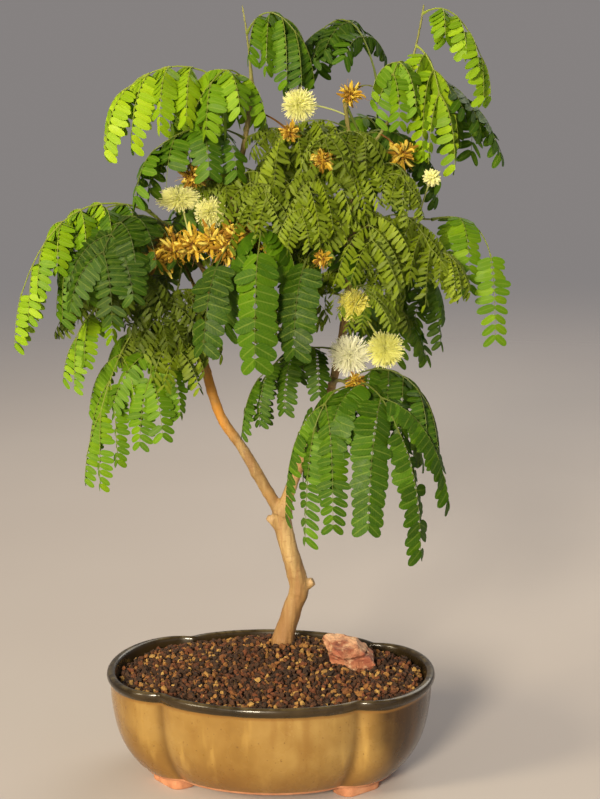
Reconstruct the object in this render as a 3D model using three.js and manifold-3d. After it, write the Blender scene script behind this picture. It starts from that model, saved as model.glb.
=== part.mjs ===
// A Brazilian rain tree grown as a bonsai in a four-lobed glazed pot.
// Millimetres, +Z up. Points are measured from the middle of the pot's footprint, on the ground.
import * as THREE from "three";
import Module from "manifold-3d";
import { mergeVertices } from "three/addons/utils/BufferGeometryUtils.js";

const wasm = await Module();
wasm.setup();

// Clearance between pieces that touch
const GAP = 0.3;
const UP = new THREE.Vector3(0, 0, 1);
// Detail smaller than one of these is dropped after a cut: the first that leaves a clean surface
const SLIVERS = [0.1, 0.06, 0.15, 0.03, 0.01];
// Corners lie on a grid of this size
const SNAP = 0.001;

// Pot: four lobes, two round ends and two long sides
const END_X = 62;
const END_LENGTH = 39.5;
const END_DEPTH = 60;
const SIDE_DEPTH = 80;
const BODY_BOTTOM = 6;
const RIM_TOP = 66;
const FLOOR_TOP = 13.5;
const END_POINTS = 10;
const SIDE_POINTS = 8;
// Each step of the wall is [share of the rim's outline, height]
const OUTER_WALL = [
  [0.76, BODY_BOTTOM],
  [0.8, 8.5],
  [0.85, 13],
  [0.9, 20],
  [0.94, 29],
  [0.968, 41],
  [0.982, 54],
  [0.998, 58],
  [1, 63],
  [0.988, 65.4],
];
const LIP = [
  [0.97, RIM_TOP],
  [0.95, 65.4],
];
const INNER_WALL = [
  [0.938, 62],
  [0.918, 50],
  [0.9, 38],
  [0.86, 25],
  [0.8, 17],
  [0.74, FLOOR_TOP],
];
const FOOT = { x: 56, y: 30, length: 30, width: 17, turn: 0.85, corner: 6, sunk: 1.5 };
const DRAIN_X = 38;
const DRAIN_RADIUS = 8;

// Plastic mesh squares over the drain holes, and the wire that holds each one
const SCREEN_SIDE = 23;
const SCREEN_THICK = 1.2;
const SCREEN_PITCH = 5.5;
const SCREEN_HOLE = 3.6;
const WIRE_RADIUS = 0.6;
const WIRE_REACH = 13;
const WIRE_BEND = 2;
const WIRE_SIDES = 5;
const WIRE_STEPS = 20;

// Soil: lower at the wall, mounded around the foot of the trunk
const FOOT_OF_TRUNK = [4, 30];
const SOIL_EDGE = 59.5;
const SOIL_RISE = 13.5;
const SOIL_WALL_SHARE = 0.006;
const SOIL_STEPS = [0.8, 0.58, 0.34, 0.12];

// Rock on the soil
const ROCK = { x: 47, y: 14, z: 70, size: [17.5, 12, 12.5], roughness: 0.28, inward: 0.6 };

// Trunk and limbs: [x, y, z, radius] along each
const LIMBS = {
  trunk: [
    [4, 30, 44, 8],
    [4, 30, 62, 8.8],
    [4, 30, 74, 7.4],
    [9, 30, 92, 6.2],
    [14, 29, 108, 6.3],
    [12, 28, 120, 6.1],
    [9, 27, 132, 5.8],
    [5, 26, 147, 5.9],
    [3, 25, 162, 5.6],
  ],
  left: [
    [3, 25, 158, 4.8],
    [-9, 24, 179, 4.2],
    [-21, 23, 200, 3.9],
    [-32, 22, 216, 3.7],
    [-38, 21, 232, 3.6],
    [-43, 19, 252, 3.4],
    [-46, 17, 268, 3.1],
    [-43, 12, 290, 2.9],
    [-35, 8, 315, 2.6],
    [-26, 4, 342, 2.4],
    [-19, 0, 370, 2.2],
    [-13, -4, 398, 1.9],
    [-9, -6, 425, 1.5],
  ],
  right: [
    [4, 24, 158, 4.4],
    [13, 21, 183, 3.8],
    [22, 18, 204, 3.5],
    [29, 15, 220, 3.3],
    [35, 12, 238, 3.1],
    [40, 9, 258, 2.9],
    [44, 6, 282, 2.7],
    [47, 4, 308, 2.5],
    [48, 2, 335, 2.3],
    [49, 0, 362, 2.1],
    [48, -3, 390, 1.8],
    [45, -6, 415, 1.4],
  ],
};

// Side shoots: the limb or trunk each grows from, the place on it from 0 to 1, middle, tip, radius
const TWIGS = {
  low_left: ["left", 0.48, [-62, 4, 284], [-82, -15, 292], 1.7],
  mid_left: ["left", 0.64, [-52, -6, 332], [-68, -22, 351], 1.7],
  front: ["left", 0.715, [-16, -18, 343], [0, -42, 339], 1.5],
  back_left: ["left", 0.583, [-56, 28, 314], [-68, 44, 325], 1.5],
  back_mid: ["left", 0.7, [-24, 36, 352], [-12, 62, 362], 1.5],
  top_left: ["left", 0.99, [-11, -8, 452], [-15, -8, 471], 1.2],
  low_right: ["right", 0.39, [43, -8, 252], [51, -29, 250], 1.7],
  right: ["right", 0.58, [58, 7, 308], [74, 8, 315], 1.5],
  far_right: ["right", 0.735, [70, 2, 348], [96, 6, 345], 1.5],
  top_right: ["right", 0.87, [80, 0, 400], [90, 8, 471], 1.5],
  top_mid: ["right", 0.99, [53, 2, 430], [64, 6, 421], 1.1],
  back_right_low: ["right", 0.47, [46, 28, 276], [56, 48, 281], 1.5],
  back_right_mid: ["right", 0.66, [42, 32, 332], [34, 58, 341], 1.5],
  back_right_high: ["right", 0.83, [54, 18, 382], [63, 38, 391], 1.4],
  pruned_right: ["trunk", 0.5, [20, 29, 112], [25, 29, 115], 3.2],
  pruned_left: ["trunk", 0.86, [-2, 25, 152], [-7, 24, 158], 2.6],
  root_front: ["trunk", 0.13, [8, 18, 60], [14, 6, 50], 3.4],
  root_left: ["trunk", 0.13, [-8, 30, 61], [-24, 26, 51], 3.6],
  root_right: ["trunk", 0.13, [16, 34, 60], [30, 40, 50], 3.2],
  root_back: ["trunk", 0.13, [-2, 42, 60], [-10, 54, 50], 3],
};
const BLUNT = ["pruned_right", "pruned_left"];
const TWIG_TAPER = 0.6;
const BLUNT_TAPER = 0.8;
const LIMB_SIDES = 7;
const TWIG_SIDES = 4;
const TWIG_STEPS = 3;
// A way that no branch runs along, from which the corners of round sections are counted
const COUNT_FROM = new THREE.Vector3(0.2, 1, 0.1);

// Compound leaves: the branch each grows on, the place on it, the stalk's middle and tip, pairs of
// side stalks, their length, how far they droop from 0 to 1, and how far leaflets reach from them
const LEAVES = [
  leaf("upper_left_1", "left", 0.955, [-42, -30, 454], [-78, -34, 424], 5, 54, 0.88, 11),
  leaf("upper_left_2", "left", 0.925, [-28, 30, 444], [-52, 50, 414], 5, 48, 0.85, 11),
  leaf("upper_left_3", "left", 0.985, [-18, -30, 444], [-28, -42, 428], 3, 40, 0.8, 11),
  leaf("upper_left_4", "left", 0.9, [-34, -42, 412], [-60, -48, 390], 4, 42, 0.8, 12),
  leaf("top_left", "top_left", 0.6, [0, -14, 478], [17, -16, 456], 4, 42, 0.97, 10),
  leaf("top_mid", "top_mid", 1, [50, 16, 488], [20, 20, 444], 5, 34, 0.6, 10),
  leaf("top_right_1", "top_right", 0.68, [78, -4, 446], [74, -14, 432], 3, 36, 0.9, 10),
  leaf("top_right_2", "top_right", 0.82, [96, 2, 442], [100, -4, 420], 3, 54, 0.95, 11),
  leaf("top_right_3", "top_right", 0.96, [108, 8, 478], [124, 8, 440], 4, 30, 0.85, 10),
  leaf("top_right_4", "top_right", 0.75, [104, 30, 428], [118, 42, 404], 4, 38, 0.7, 12),
  leaf("left_1", "mid_left", 1, [-114, -60, 376], [-138, -58, 306], 6, 36, 0.82, 11),
  leaf("left_2", "mid_left", 0.9, [-90, -46, 372], [-110, -56, 332], 4, 50, 0.88, 12),
  leaf("left_3", "mid_left", 0.75, [-78, -50, 364], [-86, -74, 334], 5, 46, 0.8, 12),
  leaf("left_4", "mid_left", 0.5, [-66, 22, 352], [-88, 30, 326], 5, 44, 0.8, 12),
  leaf("low_left_1", "low_left", 1, [-102, -26, 302], [-112, -30, 276], 3, 34, 0.85, 10, 20),
  leaf("low_left_2", "low_left", 0.75, [-88, -22, 274], [-97, -36, 232], 4, 50, 0.85, 11, 18),
  leaf("low_left_3", "low_left", 0.55, [-68, -22, 276], [-66, -38, 256], 3, 48, 0.85, 12, 20),
  leaf("low_left_4", "low_left", 0.35, [-56, -20, 290], [-48, -44, 272], 4, 32, 0.7, 8),
  leaf("front_1", "front", 1, [6, -64, 354], [6, -84, 338], 3, 74, 0.82, 13.5, 20),
  leaf("front_2", "front", 0.8, [-14, -56, 344], [-20, -74, 326], 3, 54, 0.8, 12),
  leaf("right_1", "far_right", 1, [112, 14, 348], [124, 18, 324], 3, 50, 0.92, 10),
  leaf("right_2", "right", 1, [90, 28, 324], [98, 44, 300], 5, 42, 0.85, 9),
  leaf("centre_1", "right", 0.848, [40, -34, 392], [30, -58, 370], 5, 40, 0.7, 8),
  leaf("centre_2", "right", 0.76, [60, -34, 366], [66, -62, 342], 5, 44, 0.7, 8),
  leaf("centre_3", "right", 0.94, [28, -26, 414], [12, -42, 396], 4, 38, 0.7, 8),
  leaf("centre_4", "far_right", 0.3, [84, -24, 362], [98, -38, 334], 5, 42, 0.75, 8),
  leaf("centre_5", "right", 0.69, [36, -34, 342], [34, -66, 322], 5, 44, 0.7, 8),
  leaf("centre_6", "left", 0.84, [-6, -34, 386], [-4, -54, 362], 4, 38, 0.7, 8),
  leaf("centre_7", "right", 0.9, [66, 26, 408], [80, 44, 380], 5, 42, 0.75, 10),
  leaf("lower_mid", "right", 0.48, [16, -2, 278], [-6, -6, 256], 4, 42, 0.85, 9),
  leaf("lower_right_1", "low_right", 1, [40, -46, 254], [32, -54, 228], 3, 78, 0.8, 13, 12),
  leaf("lower_right_2", "low_right", 0.85, [66, -48, 264], [76, -56, 230], 3, 84, 0.8, 13, 12),
  leaf("lower_right_3", "low_right", 0.65, [78, -28, 274], [98, -32, 240], 5, 40, 0.8, 9.5),
  leaf("back_1", "back_right_mid", 1, [30, 80, 354], [24, 100, 326], 6, 48, 0.8, 12),
  leaf("back_2", "back_right_mid", 0.6, [58, 60, 352], [78, 74, 322], 6, 48, 0.8, 12),
  leaf("back_3", "back_mid", 1, [-12, 86, 376], [-16, 104, 344], 6, 48, 0.8, 12),
  leaf("back_4", "back_mid", 0.6, [-40, 56, 372], [-62, 66, 340], 6, 48, 0.8, 12),
  leaf("back_5", "back_right_high", 1, [50, 60, 414], [36, 74, 386], 5, 44, 0.8, 12),
  leaf("back_6", "back_right_low", 1, [70, 68, 296], [84, 84, 262], 6, 46, 0.8, 12),
  leaf("back_7", "back_left", 1, [-86, 62, 338], [-98, 76, 306], 6, 46, 0.8, 12),
];
const STALK_RADIUS = 0.9;
const STALK_TAPER = 0.65;
const STALK_SIDES = 3;
const STALK_STEPS = 3;
// Side stalks start this far along the stalk, at this angle to it
const BARE_STALK = 0.3;
const FIRST_ANGLE = 78;
// Share of a side stalk's length before it droops, and how far it may sway off the leaf's plane
const SIDE_KNEE = 0.42;
const SIDE_SWAY = 0.5;
// Least share of the full length that the first and last side stalks keep
const SIDE_SHORTEST = 0.72;
// A blade is this share of its leaflets' reach, so that neighbouring blades stay apart
const BLADE_SHARE = 0.42;
const BLADE_TIP = 0.55;
const BLADE_UP = 0.7;
const BLADE_DOWN = 0.5;
// Each station of a blade is [place on its side stalk, share of its width, share of its thickness]
const BLADE_STATIONS = [
  [0, 0.08, 0.3],
  [0.5, 1, 1],
];

// Flower heads: the branch each grows on, the place on it, centre, radius, and whether it is fresh
const FLOWERS = [
  flower("white_puff", "right", 0.52, [50, -20, 267], 12, true),
  flower("yellow_puff", "right", 0.6, [71, -20, 271], 11, true),
  flower("gold_puff", "right", 0.63, [53, -24, 298], 10, true),
  flower("cream_puff_top", "right", 0.97, [20, -20, 414], 10, true),
  flower("cream_puff_left", "mid_left", 0.3, [-50, -24, 359], 10, true),
  flower("cream_puff_mid", "front", 0.25, [-31, -30, 352], 9, true),
  flower("bud", "far_right", 0.85, [97, -14, 372], 5, true),
  flower("dried_head_high", "right", 0.87, [38, -56, 386], 6, false),
  flower("dried_head_top", "top_mid", 0.5, [50, -18, 420], 6, false),
  flower("dried_head_right", "top_right", 0.3, [80, -20, 386], 7, false),
  flower("dried_head_left", "mid_left", 0.6, [-54, -40, 330], 8, false),
  flower("dried_head_mid", "front", 0.5, [-20, -50, 338], 8, false),
];
const FLOWER_STALK_RADIUS = 0.7;
const FLOWER_STALK_ARCH = 0.12;
// A faceted ball's corners are moved this much further than its faces need to move
const BALL_CORNERS = 1.3;

const COLOURS = {
  pot: [0xb98a3c, 0.25],
  screen: [0x2b2b2b, 0.6],
  wire: [0x9a9a94, 0.4],
  soil: [0x6b4326, 0.95],
  rock: [0xc98a74, 0.85],
  bark: [0xd2b27c, 0.8],
  leaf: [0x4e8f1f, 0.5],
  fresh: [0xf1ecae, 0.7],
  dried: [0xc08434, 0.85],
};

function leaf(name, branch, at, over, tip, pairs, length, hang, reach, lastAngle = 38) {
  return { name: `leaf_${name}`, branch, at, over, tip, pairs, length, hang, reach, lastAngle };
}

function flower(name, branch, at, centre, radius, fresh) {
  return { name: `flower_${name}`, branch, at, centre, radius, fresh };
}

function vector(point) {
  return new THREE.Vector3(point[0], point[1], point[2]);
}

// A fixed number from 0 to 1 for two indices, so that leaves differ in the same way each time
function chance(a, b) {
  const value = Math.sin(a * 12.9898 + b * 78.233) * 43758.5453;
  return value - Math.floor(value);
}

// A closed solid through rings of equal length, which run anticlockwise seen from the way they go
function loft(rings, tip = null) {
  const count = rings[0].length;
  const corners = rings.flat();
  const faces = [];
  for (let ring = 0; ring + 1 < rings.length; ring += 1) {
    for (let i = 0; i < count; i += 1) {
      const a = ring * count + i;
      const b = ring * count + ((i + 1) % count);
      faces.push(a, b, b + count, a, b + count, a + count);
    }
  }
  const first = corners.push(middle(rings[0])) - 1;
  const last = corners.push(tip ?? middle(rings.at(-1))) - 1;
  const lastRing = (rings.length - 1) * count;
  for (let i = 0; i < count; i += 1) {
    const next = (i + 1) % count;
    faces.push(first, next, i);
    faces.push(last, lastRing + i, lastRing + next);
  }
  const geometry = new THREE.BufferGeometry().setFromPoints(corners);
  geometry.setIndex(faces);
  return geometry;
}

function middle(ring) {
  const sum = ring.reduce((total, point) => total.add(point), new THREE.Vector3());
  return sum.divideScalar(ring.length);
}

function solidOf(geometry) {
  const bare = geometry.clone();
  bare.deleteAttribute("normal");
  bare.deleteAttribute("uv");
  const merged = mergeVertices(bare);
  return new wasm.Manifold(
    new wasm.Mesh({
      numProp: 3,
      vertProperties: new Float32Array(merged.attributes.position.array),
      triVerts: new Uint32Array(merged.index.array),
    }),
  );
}

function geometryOf(solid) {
  const mesh = solid.getMesh();
  const geometry = new THREE.BufferGeometry();
  const corners = Array.from(mesh.vertProperties, snap);
  geometry.setAttribute("position", new THREE.Float32BufferAttribute(corners, 3));
  geometry.setIndex(new THREE.Uint32BufferAttribute(mesh.triVerts, 1));
  geometry.computeVertexNormals();
  return geometry;
}

function joined(solids) {
  return solids.reduce((whole, solid) => whole.add(solid));
}

function snap(value) {
  return Math.round(value / SNAP) * SNAP;
}

// Whether each edge still lies between two faces once the corners are snapped
function staysClosed(solid) {
  const { vertProperties: place, triVerts } = solid.getMesh();
  const key = (corner) => [0, 1, 2].map((i) => Math.round(place[3 * corner + i] / SNAP)).join();
  const edges = new Set();
  let count = 0;
  for (let face = 0; face < triVerts.length; face += 3) {
    const corners = [0, 1, 2].map((i) => key(triVerts[face + i]));
    if (new Set(corners).size === 3) {
      count += 3;
      corners.forEach((corner, i) => edges.add(`${corner} ${corners[(i + 1) % 3]}`));
    }
  }
  const paired = [...edges].every((edge) => edges.has(edge.split(" ").reverse().join(" ")));
  return paired && edges.size === count;
}

// The largest body of a cut solid, without slivers
function largestBody(solid) {
  let body = solid;
  for (const sliver of SLIVERS) {
    const bodies = solid.simplify(sliver).decompose();
    body = bodies.reduce((best, other) => (other.volume() > best.volume() ? other : best));
    if (staysClosed(body)) {
      return body;
    }
  }
  return body;
}

function near(a, b) {
  const first = a.boundingBox();
  const second = b.boundingBox();
  return [0, 1, 2].every((i) => first.min[i] < second.max[i] && second.min[i] < first.max[i]);
}

function cutBy(solid, cutters) {
  const touching = cutters.filter((cutter) => near(solid, cutter));
  return touching.reduce((rest, cutter) => rest.subtract(cutter), solid);
}

// Pot outline at the rim, anticlockwise from the front right crease
function potOutline() {
  const sag = SIDE_DEPTH - END_DEPTH;
  const sideRadius = (END_X ** 2 + sag ** 2) / (2 * sag);
  const sideY = SIDE_DEPTH - sideRadius;
  const half = Math.asin(END_X / sideRadius);
  const quarter = Math.PI / 2;
  const end = (x, from) => new THREE.EllipseCurve(x, 0, END_LENGTH, END_DEPTH, from, from + Math.PI);
  const side = (y, at) => new THREE.EllipseCurve(0, y, sideRadius, sideRadius, at - half, at + half);
  const curves = [
    [end(END_X, -quarter), END_POINTS],
    [side(sideY, quarter), SIDE_POINTS],
    [end(-END_X, quarter), END_POINTS],
    [side(-sideY, -quarter), SIDE_POINTS],
  ];
  return curves.flatMap(([curve, count]) =>
    Array.from({ length: count }, (_, i) => curve.getPoint(i / count)),
  );
}

function potRing(share, z, centre = [0, 0], towards = 1) {
  return potOutline().map(
    (point) =>
      new THREE.Vector3(
        centre[0] + (point.x * share - centre[0]) * towards,
        centre[1] + (point.y * share - centre[1]) * towards,
        z,
      ),
  );
}

function footShape() {
  const { length, width, corner } = FOOT;
  const x = length / 2 - corner;
  const y = width / 2 - corner;
  const shape = new THREE.Shape();
  shape.absarc(x, y, corner, 0, Math.PI / 2);
  shape.absarc(-x, y, corner, Math.PI / 2, Math.PI);
  shape.absarc(-x, -y, corner, Math.PI, 1.5 * Math.PI);
  shape.absarc(x, -y, corner, 1.5 * Math.PI, 2 * Math.PI);
  return shape;
}

function foot(sideX, sideY) {
  const geometry = new THREE.ExtrudeGeometry(footShape(), {
    depth: BODY_BOTTOM + FOOT.sunk,
    bevelEnabled: false,
    curveSegments: 3,
  });
  geometry.rotateZ(-sideX * sideY * FOOT.turn);
  geometry.translate(sideX * FOOT.x, sideY * FOOT.y, 0);
  return solidOf(geometry);
}

function drainHole(x) {
  const height = 3 * FLOOR_TOP;
  const geometry = new THREE.CylinderGeometry(DRAIN_RADIUS, DRAIN_RADIUS, height, 20);
  geometry.rotateX(Math.PI / 2);
  geometry.translate(x, 0, BODY_BOTTOM);
  return solidOf(geometry);
}

function potSolid() {
  const steps = [...OUTER_WALL, ...LIP, ...INNER_WALL];
  const body = solidOf(loft(steps.map(([share, z]) => potRing(share, z))));
  const feet = [foot(1, 1), foot(-1, 1), foot(-1, -1), foot(1, -1)];
  return joined([body, ...feet]).subtract(drainHole(DRAIN_X)).subtract(drainHole(-DRAIN_X));
}

function screenSolid() {
  const plate = solidOf(new THREE.BoxGeometry(SCREEN_SIDE, SCREEN_SIDE, SCREEN_THICK));
  const holes = [];
  for (const column of [-1, 0, 1]) {
    for (const row of [-1, 0, 1]) {
      const hole = new THREE.BoxGeometry(SCREEN_HOLE, SCREEN_HOLE, 3 * SCREEN_THICK);
      hole.translate(column * SCREEN_PITCH, row * SCREEN_PITCH, 0);
      holes.push(solidOf(hole));
    }
  }
  return cutBy(plate, holes);
}

const SCREEN_Z = FLOOR_TOP + GAP + SCREEN_THICK / 2;
const WIRE_TOP = SCREEN_Z + SCREEN_THICK / 2 + GAP + WIRE_RADIUS;
const WIRE_UNDER = BODY_BOTTOM - GAP - WIRE_RADIUS;

// The wire's route: along the pot's underside, up the drain hole, over the screen and back
function wireCurve() {
  const bends = [
    [-WIRE_REACH, WIRE_UNDER],
    [-SCREEN_PITCH, WIRE_UNDER],
    [-SCREEN_PITCH, WIRE_TOP],
    [SCREEN_PITCH, WIRE_TOP],
    [SCREEN_PITCH, WIRE_UNDER],
    [WIRE_REACH, WIRE_UNDER],
  ].map(([x, z]) => new THREE.Vector3(x, 0, z));
  const path = new THREE.CurvePath();
  let start = bends[0];
  for (let i = 1; i + 1 < bends.length; i += 1) {
    const before = bends[i].clone().lerp(bends[i - 1], WIRE_BEND / bends[i].distanceTo(bends[i - 1]));
    const after = bends[i].clone().lerp(bends[i + 1], WIRE_BEND / bends[i].distanceTo(bends[i + 1]));
    path.add(new THREE.LineCurve3(start, before));
    path.add(new THREE.QuadraticBezierCurve3(before, bends[i], after));
    start = after;
  }
  path.add(new THREE.LineCurve3(start, bends.at(-1)));
  return path;
}

// A closed round bar along a curve, with its radius as a function of the place on it
function tube(curve, radiusAt, sides, steps) {
  const rings = [];
  let side = COUNT_FROM;
  for (let i = 0; i <= steps; i += 1) {
    const t = i / steps;
    const way = curve.getTangent(t).normalize();
    side = side.clone().addScaledVector(way, -side.dot(way)).normalize();
    const other = way.clone().cross(side);
    const centre = curve.getPoint(t);
    rings.push(
      Array.from({ length: sides }, (_, k) => {
        const angle = (2 * Math.PI * k) / sides;
        return centre
          .clone()
          .addScaledVector(side, radiusAt(t) * Math.cos(angle))
          .addScaledVector(other, radiusAt(t) * Math.sin(angle));
      }),
    );
  }
  return loft(rings);
}

function limb(name) {
  const points = LIMBS[name];
  const curve = new THREE.CatmullRomCurve3(points.map(vector), false, "catmullrom", 0.5);
  const radiusAt = (t) => {
    const place = t * (points.length - 1);
    const i = Math.min(Math.floor(place), points.length - 2);
    return THREE.MathUtils.lerp(points[i][3], points[i + 1][3], place - i);
  };
  return { curve, radiusAt, sides: LIMB_SIDES, steps: points.length - 1 };
}

function twig(name) {
  const [from, at, over, tip, radius] = TWIGS[name];
  const base = branch(from).curve.getPoint(at);
  const curve = new THREE.QuadraticBezierCurve3(base, vector(over), vector(tip));
  const taper = BLUNT.includes(name) ? BLUNT_TAPER : TWIG_TAPER;
  const radiusAt = (t) => radius * THREE.MathUtils.lerp(1, taper, t);
  return { curve, radiusAt, sides: TWIG_SIDES, steps: TWIG_STEPS };
}

function branch(name) {
  return name in LIMBS ? limb(name) : twig(name);
}

function woodSolid(extra) {
  const names = [...Object.keys(LIMBS), ...Object.keys(TWIGS)];
  return joined(
    names.map((name) => {
      const { curve, radiusAt, sides, steps } = branch(name);
      return solidOf(tube(curve, (t) => radiusAt(t) + extra, sides, steps));
    }),
  );
}

function rockSolid(extra) {
  const geometry = mergeVertices(bareIcosahedron(1, 2));
  const place = geometry.attributes.position;
  const point = new THREE.Vector3();
  for (let i = 0; i < place.count; i += 1) {
    point.fromBufferAttribute(place, i);
    const bump = 1 + ROCK.roughness * (chance(i + 3, 5) - ROCK.inward);
    point.multiply(vector(ROCK.size)).multiplyScalar(bump);
    point.addScaledVector(point.clone().normalize(), extra);
    place.setXYZ(i, point.x, point.y, point.z);
  }
  geometry.translate(ROCK.x, ROCK.y, ROCK.z);
  return solidOf(geometry);
}

function bareIcosahedron(radius, detail) {
  const geometry = new THREE.IcosahedronGeometry(radius, detail);
  geometry.deleteAttribute("normal");
  geometry.deleteAttribute("uv");
  return geometry;
}

function soilSolid(cutters) {
  const wall = INNER_WALL.filter(([, z]) => z < SOIL_EDGE).reverse();
  const [above] = INNER_WALL.filter(([, z]) => z >= SOIL_EDGE).slice(-1);
  const below = wall.at(-1);
  const edgeShare = THREE.MathUtils.mapLinear(SOIL_EDGE, below[1], above[1], below[0], above[0]);
  const rings = wall.map(([share, z], i) => potRing(share - SOIL_WALL_SHARE, i === 0 ? z + GAP : z));
  rings.push(potRing(edgeShare - SOIL_WALL_SHARE, SOIL_EDGE));
  for (const step of SOIL_STEPS) {
    const z = SOIL_EDGE + SOIL_RISE * (1 - step ** 1.5);
    rings.push(potRing(edgeShare - SOIL_WALL_SHARE, z, FOOT_OF_TRUNK, step));
  }
  return largestBody(cutBy(solidOf(loft(rings)), cutters));
}

// Room kept free in the soil for a screen and its wire
function screenRoom(x) {
  const side = SCREEN_SIDE + 2 * GAP;
  const height = 2 * (WIRE_TOP + WIRE_RADIUS + GAP - FLOOR_TOP);
  const geometry = new THREE.BoxGeometry(side, side, height);
  geometry.translate(x, 0, FLOOR_TOP);
  return solidOf(geometry);
}

function stalkCurve(plant) {
  const base = branch(plant.branch).curve.getPoint(plant.at);
  return new THREE.QuadraticBezierCurve3(base, vector(plant.over), vector(plant.tip));
}

function stalkSolid(plant, extra) {
  const radiusAt = (t) => STALK_RADIUS * THREE.MathUtils.lerp(1, STALK_TAPER, t) + extra;
  return solidOf(tube(stalkCurve(plant), radiusAt, STALK_SIDES, STALK_STEPS));
}

// Where each side stalk of a leaf starts, which ways it goes, and which way its blade spreads
function sideStalks(plant, index) {
  const curve = stalkCurve(plant);
  const stalks = [];
  for (let pair = 0; pair < plant.pairs; pair += 1) {
    const place = pair / (plant.pairs - 1);
    const t = BARE_STALK + (1 - BARE_STALK) * place;
    const way = curve.getTangent(t).normalize();
    const across = way.clone().cross(UP).normalize();
    const normal = across.clone().cross(way);
    const degrees = THREE.MathUtils.lerp(FIRST_ANGLE, plant.lastAngle, place ** 1.3);
    const angle = THREE.MathUtils.degToRad(degrees);
    const swell = Math.sin(Math.PI * (0.18 + 0.72 * place)) ** 0.8;
    for (const hand of [0, 1]) {
      const key = pair * 2 + hand;
      const turn = angle * (0.9 + 0.2 * chance(index + 1, key));
      const start = way
        .clone()
        .multiplyScalar(Math.cos(turn))
        .addScaledVector(across, (hand ? 1 : -1) * Math.sin(turn))
        .addScaledVector(normal, SIDE_SWAY * (chance(index + 57, key) - 0.5))
        .normalize();
      const vary = chance(index + 31, key + 7);
      const hang = Math.min(1, plant.hang * (0.85 + 0.3 * vary));
      const end = start.clone().multiplyScalar(1 - hang).addScaledVector(UP, -hang).normalize();
      const length = plant.length * THREE.MathUtils.lerp(SIDE_SHORTEST, 1, swell) * (0.92 + 0.16 * vary);
      const from = curve.getPoint(t);
      const knee = from.clone().addScaledVector(start, SIDE_KNEE * length);
      const to = knee.clone().addScaledVector(end, (1 - SIDE_KNEE) * length);
      const spread = start.clone().cross(normal).normalize();
      stalks.push({ curve: new THREE.QuadraticBezierCurve3(from, knee, to), spread });
    }
  }
  return stalks;
}

// A thin blade over one side stalk and its leaflets; a fat one has a five-cornered section
function bladeSolid({ curve, spread }, reach, extra) {
  const rings = BLADE_STATIONS.map(([t, wide, thick]) => {
    const way = curve.getTangent(t).normalize();
    const side = spread.clone().addScaledVector(way, -spread.dot(way)).normalize();
    const normal = side.clone().cross(way);
    const centre = curve.getPoint(t);
    const corner = (across, up) =>
      centre.clone().addScaledVector(side, across).addScaledVector(normal, up);
    const half = reach * BLADE_SHARE * wide + extra;
    if (extra === 0) {
      const down = -BLADE_DOWN * thick;
      return [corner(0, BLADE_UP * thick), corner(half, down), corner(-half, down)];
    }
    return [
      corner(0, BLADE_UP + extra),
      corner(half, 0),
      corner(half, -BLADE_DOWN - extra),
      corner(-half, -BLADE_DOWN - extra),
      corner(-half, 0),
    ];
  });
  const overshoot = reach * BLADE_TIP + 2 * extra;
  const tip = curve.getPoint(1).addScaledVector(curve.getTangent(1).normalize(), overshoot);
  return solidOf(loft(rings, tip));
}

function flowerSolid(head, extra) {
  const ball = bareIcosahedron(head.radius + BALL_CORNERS * extra, head.fresh ? 1 : 0);
  ball.translate(...head.centre);
  const base = branch(head.branch).curve.getPoint(head.at);
  const centre = vector(head.centre);
  const arch = FLOWER_STALK_ARCH * base.distanceTo(centre);
  const over = base.clone().lerp(centre, 0.5).addScaledVector(UP, arch);
  const curve = new THREE.QuadraticBezierCurve3(base, over, centre);
  const stalk = tube(curve, () => FLOWER_STALK_RADIUS + extra, TWIG_SIDES, TWIG_STEPS);
  return solidOf(ball).add(solidOf(stalk));
}

function flowerSolids(woodRoom) {
  const rooms = [];
  return FLOWERS.map((head) => {
    const solid = largestBody(cutBy(flowerSolid(head, 0), [woodRoom, ...rooms]));
    rooms.push(flowerSolid(head, GAP));
    return { head, solid };
  });
}

// Leaves give way to the wood, the flowers, other leaves' stalks and the blades of leaves before them
function leafSolids(woodRoom) {
  const flowerRooms = FLOWERS.map((head) => flowerSolid(head, GAP));
  const stalkRooms = LEAVES.map((plant) => stalkSolid(plant, GAP));
  const bladeRooms = [];
  return LEAVES.map((plant, index) => {
    const fixed = [woodRoom, ...flowerRooms];
    const stalk = cutBy(stalkSolid(plant, 0), [...fixed, ...stalkRooms.slice(0, index)]);
    const others = stalkRooms.filter((_, i) => i !== index);
    const blades = sideStalks(plant, index).map((side) => {
      const blade = bladeSolid(side, plant.reach, 0);
      return cutBy(blade, [...fixed, ...others, ...bladeRooms]);
    });
    for (const side of sideStalks(plant, index)) {
      bladeRooms.push(bladeSolid(side, plant.reach, GAP));
    }
    return { plant, solid: largestBody(joined([stalk, ...blades])) };
  });
}

const group = new THREE.Group();

function show(name, geometry, colour) {
  const [colourCode, roughness] = COLOURS[colour];
  const material = new THREE.MeshStandardMaterial({
    color: colourCode,
    roughness,
    metalness: colour === "wire" ? 0.9 : 0,
  });
  const mesh = new THREE.Mesh(geometry, material);
  mesh.name = name;
  group.add(mesh);
  return mesh;
}

const woodRoom = woodSolid(GAP);

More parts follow.
